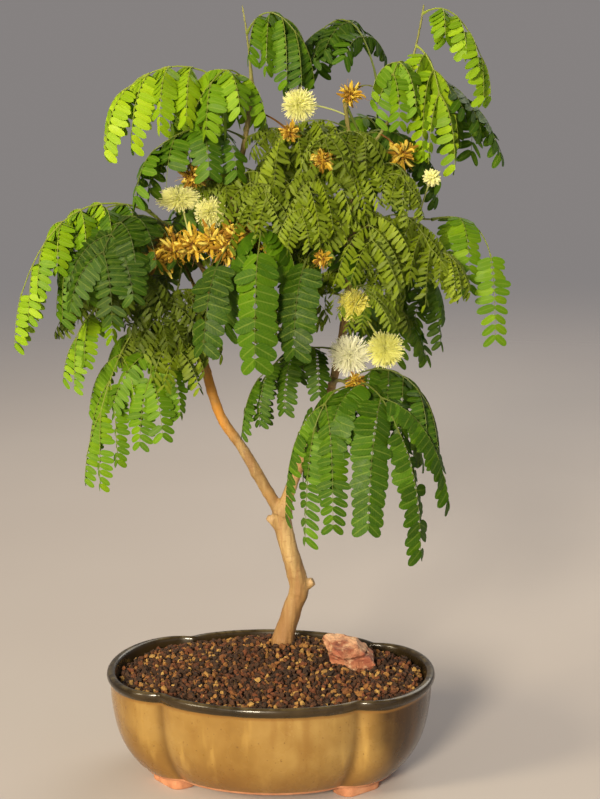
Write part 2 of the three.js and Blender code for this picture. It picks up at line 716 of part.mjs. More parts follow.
show("pot", geometryOf(potSolid()), "pot");
for (const [side, x] of [["left", -DRAIN_X], ["right", DRAIN_X]]) {
  const wire = tube(wireCurve(), () => WIRE_RADIUS, WIRE_SIDES, WIRE_STEPS);
  show(`drain_screen_${side}`, geometryOf(screenSolid()), "screen").position.set(x, 0, SCREEN_Z);
  show(`screen_wire_${side}`, wire, "wire").position.set(x, 0, 0);
}
const rooms = [woodRoom, rockSolid(2 * GAP), screenRoom(-DRAIN_X), screenRoom(DRAIN_X)];
show("soil", geometryOf(soilSolid(rooms)), "soil");
show("rock", geometryOf(rockSolid(0)), "rock");
show("trunk", geometryOf(woodSolid(0)), "bark");
for (const { plant, solid } of leafSolids(woodRoom)) {
  show(plant.name, geometryOf(solid), "leaf");
}
for (const { head, solid } of flowerSolids(woodRoom)) {
  show(head.name, geometryOf(solid), head.fresh ? "fresh" : "dried");
}

// The origin is the middle of the whole object's box, on the ground
const box = new THREE.Box3().setFromObject(group);
const centre = box.getCenter(new THREE.Vector3());
group.position.set(-snap(centre.x), -snap(centre.y), -snap(box.min.z));

export default group;
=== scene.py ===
"""A Brazilian rain tree bonsai in a glazed pot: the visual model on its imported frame."""
from math import asin, cos, floor, pi, radians, sin, sqrt

import bmesh
import bpy
import numpy as np
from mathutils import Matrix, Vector, kdtree, noise


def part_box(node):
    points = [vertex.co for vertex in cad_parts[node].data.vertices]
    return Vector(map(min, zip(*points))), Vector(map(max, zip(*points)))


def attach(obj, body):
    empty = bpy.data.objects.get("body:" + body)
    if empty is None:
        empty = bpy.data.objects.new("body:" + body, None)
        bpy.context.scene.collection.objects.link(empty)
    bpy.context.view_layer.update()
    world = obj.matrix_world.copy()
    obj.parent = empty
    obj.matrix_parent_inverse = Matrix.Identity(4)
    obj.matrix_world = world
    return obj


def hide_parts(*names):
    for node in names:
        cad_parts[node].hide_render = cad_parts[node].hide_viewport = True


# Lengths are in millimetres from the middle of the pot's footprint on the ground, unless a name ends in _M
MM = 0.001
UP = np.array([0.0, 0.0, 1.0])
GOLDEN_ANGLE = pi * (3 - sqrt(5))

# Pot outline at the rim: two round ends and two long sides
END_X = 62
END_LENGTH = 39.5
END_DEPTH = 60
SIDE_DEPTH = 80
END_POINTS = 84
SIDE_POINTS = 76
CREASE_SMOOTHING = 2
CREASE_PINCH = 0.035
CREASE_WIDTH = 8
CREASE_SHADE = 2.8
# Each step of the pot's wall is [share of the rim's outline, height]
OUTER_WALL = [[0.762, 6], [0.778, 6.3], [0.795, 8], [0.823, 10.5], [0.853, 14], [0.885, 18.5], [0.915, 24],
              [0.938, 30], [0.955, 37], [0.967, 44], [0.975, 51], [0.978, 57], [0.981, 60], [0.991, 61.2],
              [0.998, 62.2], [1.0, 63.3], [0.997, 64.6], [0.99, 65.5], [0.98, 65.95]]
INNER_WALL = [[0.968, 66], [0.957, 65.7], [0.949, 64.9], [0.944, 63.6], [0.938, 61], [0.928, 55.5],
              [0.918, 50], [0.9, 38], [0.86, 25], [0.8, 17], [0.74, 13.5]]
WALL_STEPS = 2
BODY_BOTTOM = 6
FLOOR_TOP = 13.5
CLAY_TOP = BODY_BOTTOM + 2.3
FOOT = {"x": 56, "y": 30, "length": 30, "width": 17, "turn": 0.85, "corner": 6}
FOOT_WALL = [[0.93, 0.0], [0.965, 0.25], [0.985, 0.9], [0.985, 3.0], [1.0, BODY_BOTTOM + 1.5]]
FOOT_CORNER_STEPS = 6
DRAIN_X = 38
DRAIN_RADIUS = 8
DRILL_LENGTH_M = 0.03

# Soil: lower at the wall, mounded around the foot of the trunk
FOOT_OF_TRUNK = np.array([4.0, 30.0])
SOIL_EDGE = 59.5
SOIL_RISE = 13.5
SOIL_SHARE = 0.925
BED_WALL = [[0.735, 13.8], [0.795, 17.5], [0.853, 25], [0.893, 38], [0.911, 50]]
BED_BELOW_SURFACE = 1.4
BED_RINGS = 30
# Layers of granules: the share of places filled, lift, smallest and largest size
GRAIN_LAYERS = [[1.0, -0.5, 1.6, 2.4], [0.42, 1.0, 1.2, 2.5]]
GRAIN_SPACING = 3.3
GRAIN_KINDS = 14
GRAIN_TO_TRUNK = 7.5

# Rock on the soil, and ways in which it is cut flat besides the random ones
ROCK_AT = np.array([47.0, 11.5, 70.5])
ROCK_SIZE = np.array([17.4, 15.0, 14.0])
ROCK_CUTS = [[0.1, -0.3, 1], [-0.9, -0.4, 0.25], [0.55, -0.85, 0.1], [-0.2, -1, -0.15]]

# Trunk and limbs: x, y, z and radius along each
LIMBS = {
    "trunk": [[4, 30, 44, 8], [4, 30, 62, 8.8], [4, 30, 74, 7.4], [9, 30, 92, 6.2], [14, 29, 108, 6.3],
              [12, 28, 120, 6.1], [9, 27, 132, 5.8], [5, 26, 147, 5.9], [3, 25, 162, 5.6]],
    "left": [[3, 25, 158, 4.8], [-9, 24, 179, 4.2], [-21, 23, 200, 3.9], [-32, 22, 216, 3.7],
             [-38, 21, 232, 3.6], [-43, 19, 252, 3.4], [-46, 17, 268, 3.1], [-43, 12, 290, 2.9],
             [-35, 8, 315, 2.6], [-26, 4, 342, 2.4], [-19, 0, 370, 2.2], [-13, -4, 398, 1.9],
             [-9, -6, 425, 1.5]],
    "right": [[4, 24, 158, 4.4], [13, 21, 183, 3.8], [22, 18, 204, 3.5], [29, 15, 220, 3.3],
              [35, 12, 238, 3.1], [40, 9, 258, 2.9], [44, 6, 282, 2.7], [47, 4, 308, 2.5],
              [48, 2, 335, 2.3], [49, 0, 362, 2.1], [48, -3, 390, 1.8], [45, -6, 415, 1.4]],
}
LIMB_SIDES = 14
RING_SPACING = 1.6
TRUNK_VOXEL_M = 0.0008
# Shoots taper to a share of their radius, flare where they start and swell at old leaf scars
SHOOT_TAPER = 0.6
STUB_TAPER = 0.85
STUB_END = 0.8
FLARE_LENGTH = 5
SCAR_SPACING = 14
# The visible wood's thickness as a share of its rows' radius, and how far leaf scars swell it
TRUNK_FORM = (0.96, 0.04)
LIMB_FORM = (0.87, 0.1)

# Side shoots: the limb or trunk each grows from, the place on it from 0 to 1, middle, tip, radius
TWIGS = {
    "low_left": ["left", 0.48, [-62, 4, 284], [-82, -15, 292], 1.7],
    "mid_left": ["left", 0.64, [-52, -6, 332], [-68, -22, 351], 1.7],
    "front": ["left", 0.715, [-16, -18, 343], [0, -42, 339], 1.5],
    "back_left": ["left", 0.583, [-56, 28, 314], [-68, 44, 325], 1.5],
    "back_mid": ["left", 0.7, [-24, 36, 352], [-12, 62, 362], 1.5],
    "top_left": ["left", 0.99, [-11, -8, 452], [-15, -8, 471], 1.2],
    "low_right": ["right", 0.39, [43, -8, 252], [51, -29, 250], 1.7],
    "right": ["right", 0.58, [58, 7, 308], [74, 8, 315], 1.5],
    "far_right": ["right", 0.735, [70, 2, 348], [96, 6, 345], 1.5],
    "top_right": ["right", 0.87, [80, 0, 400], [90, 8, 471], 1.5],
    "top_mid": ["right", 0.99, [53, 2, 430], [64, 6, 421], 1.1],
    "back_right_low": ["right", 0.47, [46, 28, 276], [56, 48, 281], 1.5],
    "back_right_mid": ["right", 0.66, [42, 32, 332], [34, 58, 341], 1.5],
    "back_right_high": ["right", 0.83, [54, 18, 382], [63, 38, 391], 1.4],
    "pruned_right": ["trunk", 0.5, [20, 29, 112], [25, 29, 115], 3.2],
    "pruned_left": ["trunk", 0.86, [-2, 25, 152], [-7, 24, 158], 2.6],
    "root_front": ["trunk", 0.13, [8, 18, 60], [14, 6, 50], 3.4],
    "root_left": ["trunk", 0.13, [-8, 30, 61], [-24, 26, 51], 3.6],
    "root_right": ["trunk", 0.13, [16, 34, 60], [30, 40, 50], 3.2],
    "root_back": ["trunk", 0.13, [-2, 42, 60], [-10, 54, 50], 3],
}

# Leaves: branch, place, stalk middle, tip, side pairs, length, droop, leaflet, last angle, fold, brightness
# Brightness is partly a leaf's own green and partly painted light and shade: leaves in shade are darker
LEAVES = {
    "upper_left_1": ["left", 0.955, [-42, -30, 454], [-78, -34, 424], 5, 54, 0.88, 11, 38, 45, 0.84],
    "upper_left_2": ["left", 0.925, [-28, 30, 444], [-52, 50, 414], 5, 48, 0.85, 11, 38, 45, 0.76],
    "upper_left_3": ["left", 0.985, [-18, -30, 444], [-28, -42, 428], 3, 40, 0.8, 11, 38, 30, 0.66],
    "upper_left_4": ["left", 0.9, [-34, -42, 412], [-60, -48, 390], 4, 42, 0.8, 11.5, 38, 15, 0.38],
    "top_left": ["top_left", 0.6, [0, -14, 478], [17, -16, 456], 4, 42, 0.9, 10, 38, 50, 0.43],
    "top_mid": ["top_mid", 1, [50, 16, 488], [20, 20, 444], 5, 34, 0.6, 10, 38, 25, 0.22],
    "top_right_1": ["top_right", 0.68, [78, -4, 446], [74, -14, 432], 3, 36, 0.9, 10, 38, 35, 0.6],
    "top_right_2": ["top_right", 0.82, [96, 2, 442], [100, -4, 420], 3, 54, 0.95, 11, 38, 45, 0.85],
    "top_right_3": ["top_right", 0.96, [108, 8, 478], [124, 8, 440], 4, 30, 0.85, 10, 38, 40, 0.75],
    "top_right_4": ["top_right", 0.75, [104, 30, 428], [118, 42, 404], 4, 38, 0.7, 12, 38, 20, 0.25],
    "left_1": ["mid_left", 1, [-114, -60, 376], [-138, -58, 306], 6, 36, 0.82, 9.5, 38, 45, 0.76],
    "left_2": ["mid_left", 0.9, [-90, -46, 372], [-110, -56, 332], 4, 50, 0.88, 10, 38, 40, 0.46],
    "left_3": ["mid_left", 0.75, [-78, -50, 364], [-86, -74, 334], 5, 46, 0.8, 11, 38, 12, 0.05],
    "left_4": ["mid_left", 0.5, [-66, 22, 352], [-88, 30, 326], 5, 44, 0.8, 12, 38, 8, 0.2],
    "low_left_1": ["low_left", 1, [-102, -26, 302], [-112, -30, 276], 3, 34, 0.85, 8.6, 20, 45, 0.68],
    "low_left_2": ["low_left", 0.75, [-88, -22, 274], [-97, -36, 232], 4, 50, 0.85, 8.8, 18, 45, 0.64],
    "low_left_3": ["low_left", 0.55, [-68, -22, 276], [-66, -38, 256], 3, 48, 0.85, 9.5, 20, 20, 0.52],
    "low_left_4": ["low_left", 0.35, [-56, -20, 290], [-48, -44, 272], 4, 32, 0.7, 8, 38, 45, 0.5],
    "front_1": ["front", 1, [4, -62, 354], [4, -80, 337], 2, 80, 0.95, 15.5, 0, 28, 0.35],
    "front_2": ["front", 0.8, [-14, -56, 346], [-20, -74, 328], 2, 64, 0.92, 13, 0, 14, 0.1],
    "right_1": ["far_right", 1, [122, 28, 350], [131, 5, 325], 2, 62, 0.94, 11, 0, 10, 0.66],
    "right_2": ["right", 1, [84, 26, 324], [90, 42, 298], 4, 42, 0.88, 9, 38, 35, 0.25],
    "centre_1": ["right", 0.848, [40, -34, 392], [30, -58, 370], 5, 40, 0.7, 8, 38, 50, 0.5],
    "centre_2": ["right", 0.76, [60, -34, 366], [66, -62, 342], 5, 44, 0.7, 8, 38, 50, 0.5],
    "centre_3": ["right", 0.94, [28, -26, 414], [12, -42, 396], 4, 38, 0.7, 8, 38, 50, 0.5],
    "centre_4": ["far_right", 0.3, [84, -24, 362], [98, -38, 334], 5, 42, 0.75, 8, 38, 50, 0.5],
    "centre_5": ["right", 0.69, [36, -34, 344], [29, -64, 330], 2, 64, 0.84, 13, 0, 14, 0.14],
    "centre_6": ["left", 0.84, [-6, -34, 386], [-4, -54, 362], 4, 38, 0.7, 8, 38, 50, 0.5],
    "centre_7": ["right", 0.9, [66, 26, 408], [80, 44, 380], 5, 42, 0.75, 10, 38, 50, 0.3],
    "lower_mid": ["right", 0.48, [16, -2, 274], [-6, -6, 249], 4, 46, 0.88, 8.6, 38, 20, 0.25],
    "lower_right_1": ["low_right", 1, [40, -46, 254], [33, -54, 230], 3, 78, 0.93, 10.8, 0, 20, 0.35],
    "lower_right_2": ["low_right", 0.85, [68, -48, 262], [81, -56, 232], 3, 88, 0.9, 12.6, 0, 15, 0.26],
    "lower_right_3": ["low_right", 0.65, [78, -28, 274], [98, -32, 240], 5, 40, 0.8, 9.5, 38, 25, 0.2],
    "back_1": ["back_right_mid", 1, [30, 80, 354], [24, 100, 326], 6, 48, 0.8, 12, 38, 8, 0.4],
    "back_2": ["back_right_mid", 0.6, [58, 60, 352], [78, 74, 322], 6, 48, 0.8, 12, 38, 8, 0.4],
    "back_3": ["back_mid", 1, [-12, 86, 376], [-16, 104, 344], 6, 48, 0.8, 12, 38, 8, 0.4],
    "back_4": ["back_mid", 0.6, [-40, 56, 372], [-62, 66, 340], 6, 48, 0.8, 12, 38, 8, 0.4],
    "back_5": ["back_right_high", 1, [50, 60, 414], [36, 74, 386], 5, 44, 0.8, 12, 38, 8, 0.4],
    "back_6": ["back_right_low", 1, [64, 70, 300], [74, 84, 272], 5, 38, 0.8, 12, 38, 8, 0.4],
    "back_7": ["back_left", 1, [-86, 62, 338], [-98, 76, 306], 6, 46, 0.8, 12, 38, 8, 0.4],
}

# Flower heads: branch, place on it, centre, radius
FLOWERS = {
    "white_puff": ["right", 0.52, [50, -20, 267], 12],
    "yellow_puff": ["right", 0.6, [71, -20, 271], 11],
    "gold_puff": ["right", 0.63, [53, -24, 298], 10],
    "cream_puff_top": ["right", 0.97, [20, -20, 414], 10],
    "cream_puff_left": ["mid_left", 0.3, [-50, -24, 359], 10],
    "cream_puff_mid": ["front", 0.25, [-31, -30, 352], 9],
    "bud": ["far_right", 0.85, [97, -14, 372], 5],
    "dried_head_high": ["right", 0.87, [38, -56, 386], 6],
    "dried_head_top": ["top_mid", 0.5, [50, -18, 420], 6],
    "dried_head_right": ["top_right", 0.3, [80, -20, 386], 7],
    "dried_head_left": ["mid_left", 0.6, [-54, -40, 330], 8],
    "dried_head_mid": ["front", 0.5, [-20, -50, 338], 8],
}

# Fresh flower heads: fine threads from a small heart of beads, one head spread sideways
STAMENS = 640
SHORT_STAMENS = 260
HEART_BEADS = 18
BUDS = 52
PUFF_SPREAD = {"cream_puff_left": [1.45, 1, 0.75]}
# Colours of the threads at the heart, along them and at the tip
STAMEN_COLOURS = {
    "cream": ((0.8, 0.85, 0.3), (0.97, 0.98, 0.5), (1.0, 0.98, 0.58)),
    "white": ((0.88, 0.92, 0.5), (1.0, 1.0, 0.84), (1.0, 1.0, 0.84)),
    "yellow": ((0.82, 0.88, 0.2), (1.0, 1.0, 0.4), (1.0, 1.0, 0.52)),
    "gold": ((0.95, 0.88, 0.12), (1.0, 0.97, 0.28), (1.0, 0.98, 0.34)),
}
# Spent heads: beads, then straps and threads as radii, sides, count and least brightness
DRIED_BEADS = 26
DRIED_STRANDS = [([0.35, 0.85, 1.05, 0.9, 0.4], 4, 50, 0.35), ([0.16, 0.17, 0.16, 0.14, 0.1], 3, 80, 0.15)]
# Spent heads that stand in a group: where each one's middle is from the group's
DRIED_GROUP = {
    "dried_head_left": [[-7, 0, -4], [4, -3, 1], [-1, 5, 5], [15, -4, 5]],
    "dried_head_mid": [[-7, 0, 0], [7, -2, 4], [1, -4, -4], [14, 2, 2]],
}
# Small spent heads between the leaves, in the same form as the flower heads
SMALL_HEADS = {
    "small_head_left": ["left", 0.8, [-39, -44, 374], 6.5],
    "small_head_top": ["left", 0.95, [17, -40, 400], 5],
    "small_head_front": ["right", 0.69, [38, -62, 330], 4.5],
    "small_head_low": ["low_right", 0.7, [55, -34, 254], 5],
}

# Young sprays in the crown: branch, place on it, way out in radians, reach, rise of the tip, brightness
# Brightness is partly a spray's own green and partly painted light and shade
SPRAYS = [
    ("right", 0.6, -2.3, 50, 0, 0.5),
    ("right", 0.66, -1.35, 52, -2, 0.45),
    ("right", 0.72, -0.5, 52, -6, 0.55),
    ("right", 0.79, -2.0, 46, 2, 0.5),
    ("right", 0.86, -1.0, 42, 0, 0.45),
    ("right", 0.92, -1.75, 34, 2, 0.35),
    ("right", 0.57, 1.1, 38, -4, 0.4),
    ("right", 0.72, 1.7, 42, 0, 0.4),
    ("right", 0.86, 2.6, 36, 4, 0.35),
    ("left", 0.72, -0.75, 42, 0, 0.35),
    ("left", 0.82, -1.1, 38, 2, 0.45),
    ("left", 0.9, -0.3, 34, 2, 0.3),
    ("left", 0.8, 2.0, 38, 2, 0.4),
    ("left", 0.5, 2.5, 34, -4, 0.3),
    ("low_left", 0.5, -1.3, 16, -4, 0.3),
    ("low_left", 0.9, 2.7, 22, 6, 0.25),
    ("mid_left", 0.8, -2.3, 30, -32, 0.15),
    ("mid_left", 0.45, -1.7, 22, -30, 0.15),
]
SPRAY_LEAFLET = 6.6
# Each leaf of a spray: its place on the shoot, and how far it swings from the shoot's way
SPRAY_LEAVES = [(0.5, -0.95), (0.72, 0.85), (1.0, 0.1)]

# Camera: turned about the pot by this many degrees, with a lens for the sensor's height, both in millimetres
CAMERA_TURN = 6.7
CAMERA_FAR = 1400
CAMERA_SHIFT = 18
CAMERA_HIGH = 526
CAMERA_AIM = 235
CAMERA_LENS = 106.65
SENSOR_HEIGHT = 36
NEAREST_SEEN_M = 0.05
# Lights: name, place, aim, size in metres, spread in degrees, watts, colour
LIGHTS = [
    ("key", [-640, -4120, 1500], [0, 0, 240], 0.9, 44, 16.5, (1.0, 0.87, 0.66)),
    ("left", [-2500, -2100, 1500], [0, 0, 240], 1.0, 44, 5.5, (1.0, 0.84, 0.56)),
    ("fill", [1500, -1200, 1000], [0, 0, 230], 2.0, 180, 4, (0.9, 0.93, 1.0)),
    ("back", [700, 1700, 1500], [0, 0, 280], 1.6, 180, 18, (1.0, 0.95, 0.85)),
]
WORLD_COLOUR = (0.74, 0.69, 0.68, 1)
WORLD_STRENGTH = 0.32
FLOOR_HALF_M = 3.0

# The way from the front of the tree to its back, the way the main light falls, and how far each is kept clear
FRONT_TO_BACK = (np.array([-0.114, 0.972, -0.204]), 400)
KEY_TO_FLOWERS = (np.array([0.147, 0.947, -0.29]), 45)
# Leaflets keep this share of a flower head's radius, or at least this far, from the line to its middle
CLEAR_SHARE = 0.85
LEAST_CLEARANCE = 7.5

# Leaf stalks, as in the frame's leaves: shares of a stalk's length, and the first side stalk's angle
BARE_STALK = 0.3
SIDE_KNEE = 0.42
SIDE_SWAY = 0.5
SIDE_SHORTEST = 0.72
FIRST_ANGLE = 78

# A leaflet's outline: [place along it, half width as a share of the widest]
LEAFLET_OUTLINE = [[0.03, 0.34], [0.13, 0.82], [0.34, 1.0], [0.62, 0.98], [0.84, 0.78], [0.96, 0.4]]
LEAFLET_WIDTH = 0.43
LEAFLET_PITCH = 0.4
BROAD_WIDTH = 0.56
BROAD_PITCH = 0.37
BROAD_FROM = 12.2
YOUNG_OUTLINE = [[0.06, 0.5], [0.42, 1.0], [0.86, 0.68]]
YOUNG_WIDTH = 0.33
YOUNG_PITCH = 0.37
YOUNG_BELOW = 8.5


# A fixed number from 0 to 1 for two indices, as in the frame's leaves
def chance(a, b):
    value = sin(a * 12.9898 + b * 78.233) * 43758.5453
    return value - floor(value)


# How far a value has come from low to high, from 0 to 1
def progress(value, low, high):
    return np.clip((value - low) / (high - low), 0, 1)


# Smooth noise at a place, with its own scale upwards
def wave(place, scale, scale_up, shift=0):
    x, y, z = place
    return noise.noise(Vector((x * scale, y * scale, z * scale_up + shift)))


def unit(vector):
    return vector / (np.linalg.norm(vector, axis=-1, keepdims=True) + 1e-12)


def bend(a, b, c, t):
    return (1 - t) ** 2 * a + 2 * t * (1 - t) * b + t * t * c


def bend_way(a, b, c, t):
    return unit((1 - t) * (b - a) + t * (c - b))


# A point on a smooth curve through rows of numbers, for t from 0 to 1
def spline(rows, t):
    place = t * (len(rows) - 1)
    i = min(int(place), len(rows) - 2)
    w = place - i
    a, b = rows[i], rows[i + 1]
    before = rows[i - 1] if i > 0 else 2 * a - b
    after = rows[i + 2] if i + 2 < len(rows) else 2 * b - a
    leave, arrive = (b - before) / 2, (after - a) / 2
    return ((2 * w**3 - 3 * w**2 + 1) * a + (w**3 - 2 * w**2 + w) * leave
            + (3 * w**2 - 2 * w**3) * b + (w**3 - w**2) * arrive)


# Corners and faces gathered piece by piece, with named numbers kept for each corner
class Shape:
    def __init__(self):
        self.points = []
        self.faces = []
        self.values = []
        self.count = 0

    def add(self, points, faces, **values):
        points = np.asarray(points, float)
        self.faces.extend([corner + self.count for corner in face] for face in faces)
        self.points.append(points)
        self.values.append({name: np.broadcast_to(value, len(points)) for name, value in values.items()})
        self.count += len(points)

    def object(self, name, material, smooth_angle=40):
        mesh = bpy.data.meshes.new(name)
        mesh.from_pydata(placed(np.concatenate(self.points)).tolist(), [], self.faces)
        keep(mesh, **{key: np.concatenate([values[key] for values in self.values]) for key in self.values[0]})
        return shown(name, mesh, material, smooth_angle)


# Named numbers kept for each corner of a mesh
def keep(mesh, **values):
    for key, numbers in values.items():
        mesh.attributes.new(key, "FLOAT", "POINT").data.foreach_set("value", numbers.astype(np.float32))


# Millimetres from the pot's middle, as metres in the part's own frame
def placed(points):
    return np.asarray(points) * MM + POT_MIDDLE_M


def linked(name, data):
    obj = bpy.data.objects.new(name, data)
    bpy.context.scene.collection.objects.link(obj)
    return obj


def shown(name, mesh, material, smooth_angle):
    mesh.update()
    mesh.shade_smooth()
    mesh.set_sharp_from_angle(angle=radians(smooth_angle))
    mesh.materials.append(material)
    return linked(name, mesh)


def rides_on_root(obj):
    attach(obj, "root")


# A piece that stands for nodes of the frame, which it hides, riding on the root
def stands_for(obj, slot, *nodes):
    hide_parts(*nodes)
    rides_on_root(obj)


# Corners and faces through rings of corners, closed at both ends by a corner each, the last two
def closed(rings, first, last):
    count, sides = len(rings), len(rings[0])
    faces = []
    for ring in range(count - 1):
        for i in range(sides):
            a, b = ring * sides + i, ring * sides + (i + 1) % sides
            faces.append([a, b, b + sides, a + sides])
    end = (count - 1) * sides
    for i in range(sides):
        after = (i + 1) % sides
        faces.append([end + sides, after, i])
        faces.append([end + sides + 1, end + i, end + after])
    return np.concatenate([*rings, [first, last]]), faces


# A closed bar through points, with a radius at each: its corners and faces
def tube(points, radii, sides):
    points = np.asarray(points, float)
    ways = unit(np.gradient(points, axis=0))
    side = np.array([0.2, 1.0, 0.1])
    angles = np.arange(sides) * 2 * pi / sides
    rings = []
    for point, way, radius in zip(points, ways, radii):
        side = unit(side - way * (side @ way))
        other = np.cross(way, side)
        rings.append(point + radius * (np.outer(np.cos(angles), side) + np.outer(np.sin(angles), other)))
    return closed(rings, points[0], points[-1])


# A closed bar along a bend
def bent_tube(a, b, c, radii, sides):
    return tube([bend(a, b, c, t) for t in np.linspace(0, 1, len(radii))], radii, sides)


# The mesh of an object with its modifiers applied; the object is removed
def applied(obj):
    graph = bpy.context.evaluated_depsgraph_get()
    mesh = bpy.data.meshes.new_from_object(obj.evaluated_get(graph))
    bpy.data.objects.remove(obj)
    return mesh


# The mesh of a form, which is freed
def mesh_of(name, form):
    mesh = bpy.data.meshes.new(name)
    form.to_mesh(mesh)
    form.free()
    return mesh


# Each corner's place, as "co", or its normal
def corners_of(mesh, key="co"):
    flat = np.empty(len(mesh.vertices) * 3, np.float32)
    mesh.vertices.foreach_get(key, flat)
    return flat.reshape(-1, 3).astype(float)


def set_corners(mesh, points):
    mesh.vertices.foreach_set("co", points.astype(np.float32).ravel())
    mesh.update()


# Short calls for building one material's nodes; its colour and its relief are laid on in layers
class Nodes:
    def __init__(self, name):
        self.material = bpy.data.materials.new(name)
        self.material.use_nodes = True
        self.tree = self.material.node_tree
        self.tree.nodes.clear()
        self.place = self.add("ShaderNodeTexCoord").outputs["Object"]
        self.normal = {}

    def add(self, kind, inputs=None, **settings):
        node = self.tree.nodes.new(kind)
        for key, value in settings.items():
            setattr(node, key, value)
        for key, value in (inputs or {}).items():
            self.put(node.inputs[key], value)
        return node

    def put(self, socket, value):
        if isinstance(value, bpy.types.NodeSocket):
            self.tree.links.new(value, socket)
        elif socket.type == "RGBA":
            socket.default_value = (*value, 1)
        else:
            socket.default_value = value

    def kept(self, name):
        return self.add("ShaderNodeAttribute", attribute_name=name).outputs["Fac"]

    def math(self, operation, a, b=0.0):
        return self.add("ShaderNodeMath", {0: a, 1: b}, operation=operation).outputs[0]

    def times(self, a, b):
        return self.math("MULTIPLY", a, b)

    def plus(self, a, b):
        return self.math("ADD", a, b)

    def stretched(self, x, y, z):
        return self.add("ShaderNodeMapping", {"Vector": self.place, "Scale": (x, y, z)}).outputs[0]

    def noise(self, scale, detail=3.0, roughness=0.55, vector=None):
        inputs = {"Vector": vector or self.place, "Scale": scale, "Detail": detail, "Roughness": roughness}
        return self.add("ShaderNodeTexNoise", inputs).outputs["Fac"]

    def cells(self, scale, feature="F1", vector=None):
        inputs = {"Vector": vector or self.place, "Scale": scale}
        return self.add("ShaderNodeTexVoronoi", inputs, feature=feature).outputs["Distance"]

    def axis(self, name):
        return self.add("ShaderNodeSeparateXYZ", {0: self.place}).outputs[name]

    def between(self, value, low, high, start=0.0, end=1.0):
        inputs = {"Value": value, "From Min": low, "From Max": high, "To Min": start, "To Max": end}
        return self.add("ShaderNodeMapRange", inputs, interpolation_type="SMOOTHSTEP").outputs["Result"]

    # A run of colours, each stop its place from 0 to 1 and its red, green and blue
    def ramp(self, value, *stops):
        node = self.add("ShaderNodeValToRGB", {"Fac": value})
        elements = node.color_ramp.elements
        while len(elements) < len(stops):
            elements.new(0.5)
        for element, (position, *colour) in zip(elements, stops):
            element.position = position
            element.color = (*colour, 1)
        return node.outputs["Color"]

    def mix(self, share, a, b):
        return self.add("ShaderNodeMix", {"Factor": share, 6: a, 7: b}, data_type="RGBA").outputs[2]

    # The first layer of colour
    def base(self, value, *stops):
        self.colour = self.ramp(value, *stops)

    # A layer of colour over a share of what is there
    def cover(self, share, colour):
        self.colour = self.mix(share, self.colour, colour)

    # A layer of colour where a value passes from low to high
    def tint(self, colour, value, low, high, most):
        self.cover(self.between(value, low, high, 0, most), colour)

    # A layer of colour where a kept number is high
    def mark(self, colour, name, most):
        self.cover(self.times(self.kept(name), most), colour)

    # A layer of relief
    def bump(self, height, strength, distance):
        inputs = {"Height": height, "Strength": strength, "Distance": distance, **self.normal}
        self.normal = {"Normal": self.add("ShaderNodeBump", inputs).outputs["Normal"]}

    def surface(self, roughness, **others):
        names = {key.replace("_", " ").title().replace("Ior", "IOR"): value for key, value in others.items()}
        inputs = {"Base Color": self.colour, "Roughness": roughness, **self.normal, **names}
        return self.add("ShaderNodeBsdfPrincipled", inputs).outputs["BSDF"]

    def blend(self, share, face, other):
        return self.add("ShaderNodeMixShader", {0: share, 1: face, 2: other}).outputs[0]

    # A face that lets a share of the light through in this colour
    def lit_through(self, share, face, colour):
        return self.blend(share, face, self.add("ShaderNodeBsdfTranslucent", {"Color": colour}).outputs[0])

    def done(self, shader):
        output = self.add("ShaderNodeOutputMaterial", {"Surface": shader})
        output.is_active_output = True
        return self.material


# Amber glaze that runs, darker towards the bottom, with a dark lip and inside, and painted shade
def glaze_material():
    n = Nodes("glaze")
    z = n.axis("Z")
    wobble = n.times(n.math("SUBTRACT", n.noise(45, 2), 0.5), 0.002)
    edge = n.plus(z, wobble)
    runs = n.noise(70, 3, 0.6, n.stretched(1, 1, 0.12))
    n.base(n.noise(16, 4, 0.6), (0.28, 0.155, 0.076, 0.014), (0.5, 0.25, 0.142, 0.034),
           (0.74, 0.36, 0.23, 0.07))
    n.tint((0.17, 0.07, 0.01), runs, 0.5, 0.78, 0.5)
    n.tint((0.56, 0.36, 0.1), runs, 0.46, 0.22, 0.5)
    n.tint((0.17, 0.075, 0.014), n.plus(z, n.times(wobble, 4)), 0.036, 0.007, 0.65)
    # Painted shade in the creases
    n.mark((0.07, 0.03, 0.006), "crease", 0.6)
    # Painted shade over the right end of the pot, streaked where the glaze runs
    painted_shade_right_end = n.ramp(runs, (0.35, 0.07, 0.03, 0.006), (0.6, 0.024, 0.009, 0.002))
    n.tint(painted_shade_right_end, n.plus(n.axis("X"), n.times(wobble, 8)), 0.062, 0.088, 0.96)
    n.tint((0.12, 0.055, 0.015), n.noise(620, 1, 0.4), 0.71, 0.76, 0.7)
    from_line = n.math("ABSOLUTE", n.math("SUBTRACT", edge, 0.0592))
    n.tint((0.2, 0.095, 0.02), from_line, 0.0016, 0, 0.75)
    lip = n.ramp(n.noise(30, 4, 0.6), (0.3, 0.012, 0.008, 0.003), (0.7, 0.042, 0.026, 0.009))
    # The rim's top is paler, partly from thin glaze on the edge and partly painted light
    thin_glaze_and_painted_light = n.times(n.between(z, 0.0648, 0.066), n.between(n.noise(120, 3), 0.35, 0.7, 0.1, 0.8))
    lip = n.mix(thin_glaze_and_painted_light, lip, (0.13, 0.1, 0.045))
    n.cover(n.math("MAXIMUM", n.between(edge, 0.0594, 0.0606), n.kept("inside")), lip)
    n.bump(n.noise(38, 2), 0.25, 0.0016)
    n.bump(n.noise(900, 2), 0.05, 0.0003)
    return n.done(n.surface(n.between(n.noise(60, 3), 0.3, 0.75, 0.22, 0.38), specular_ior_level=0.25,
                            coat_weight=0.3, coat_roughness=0.06, coat_ior=1.45))


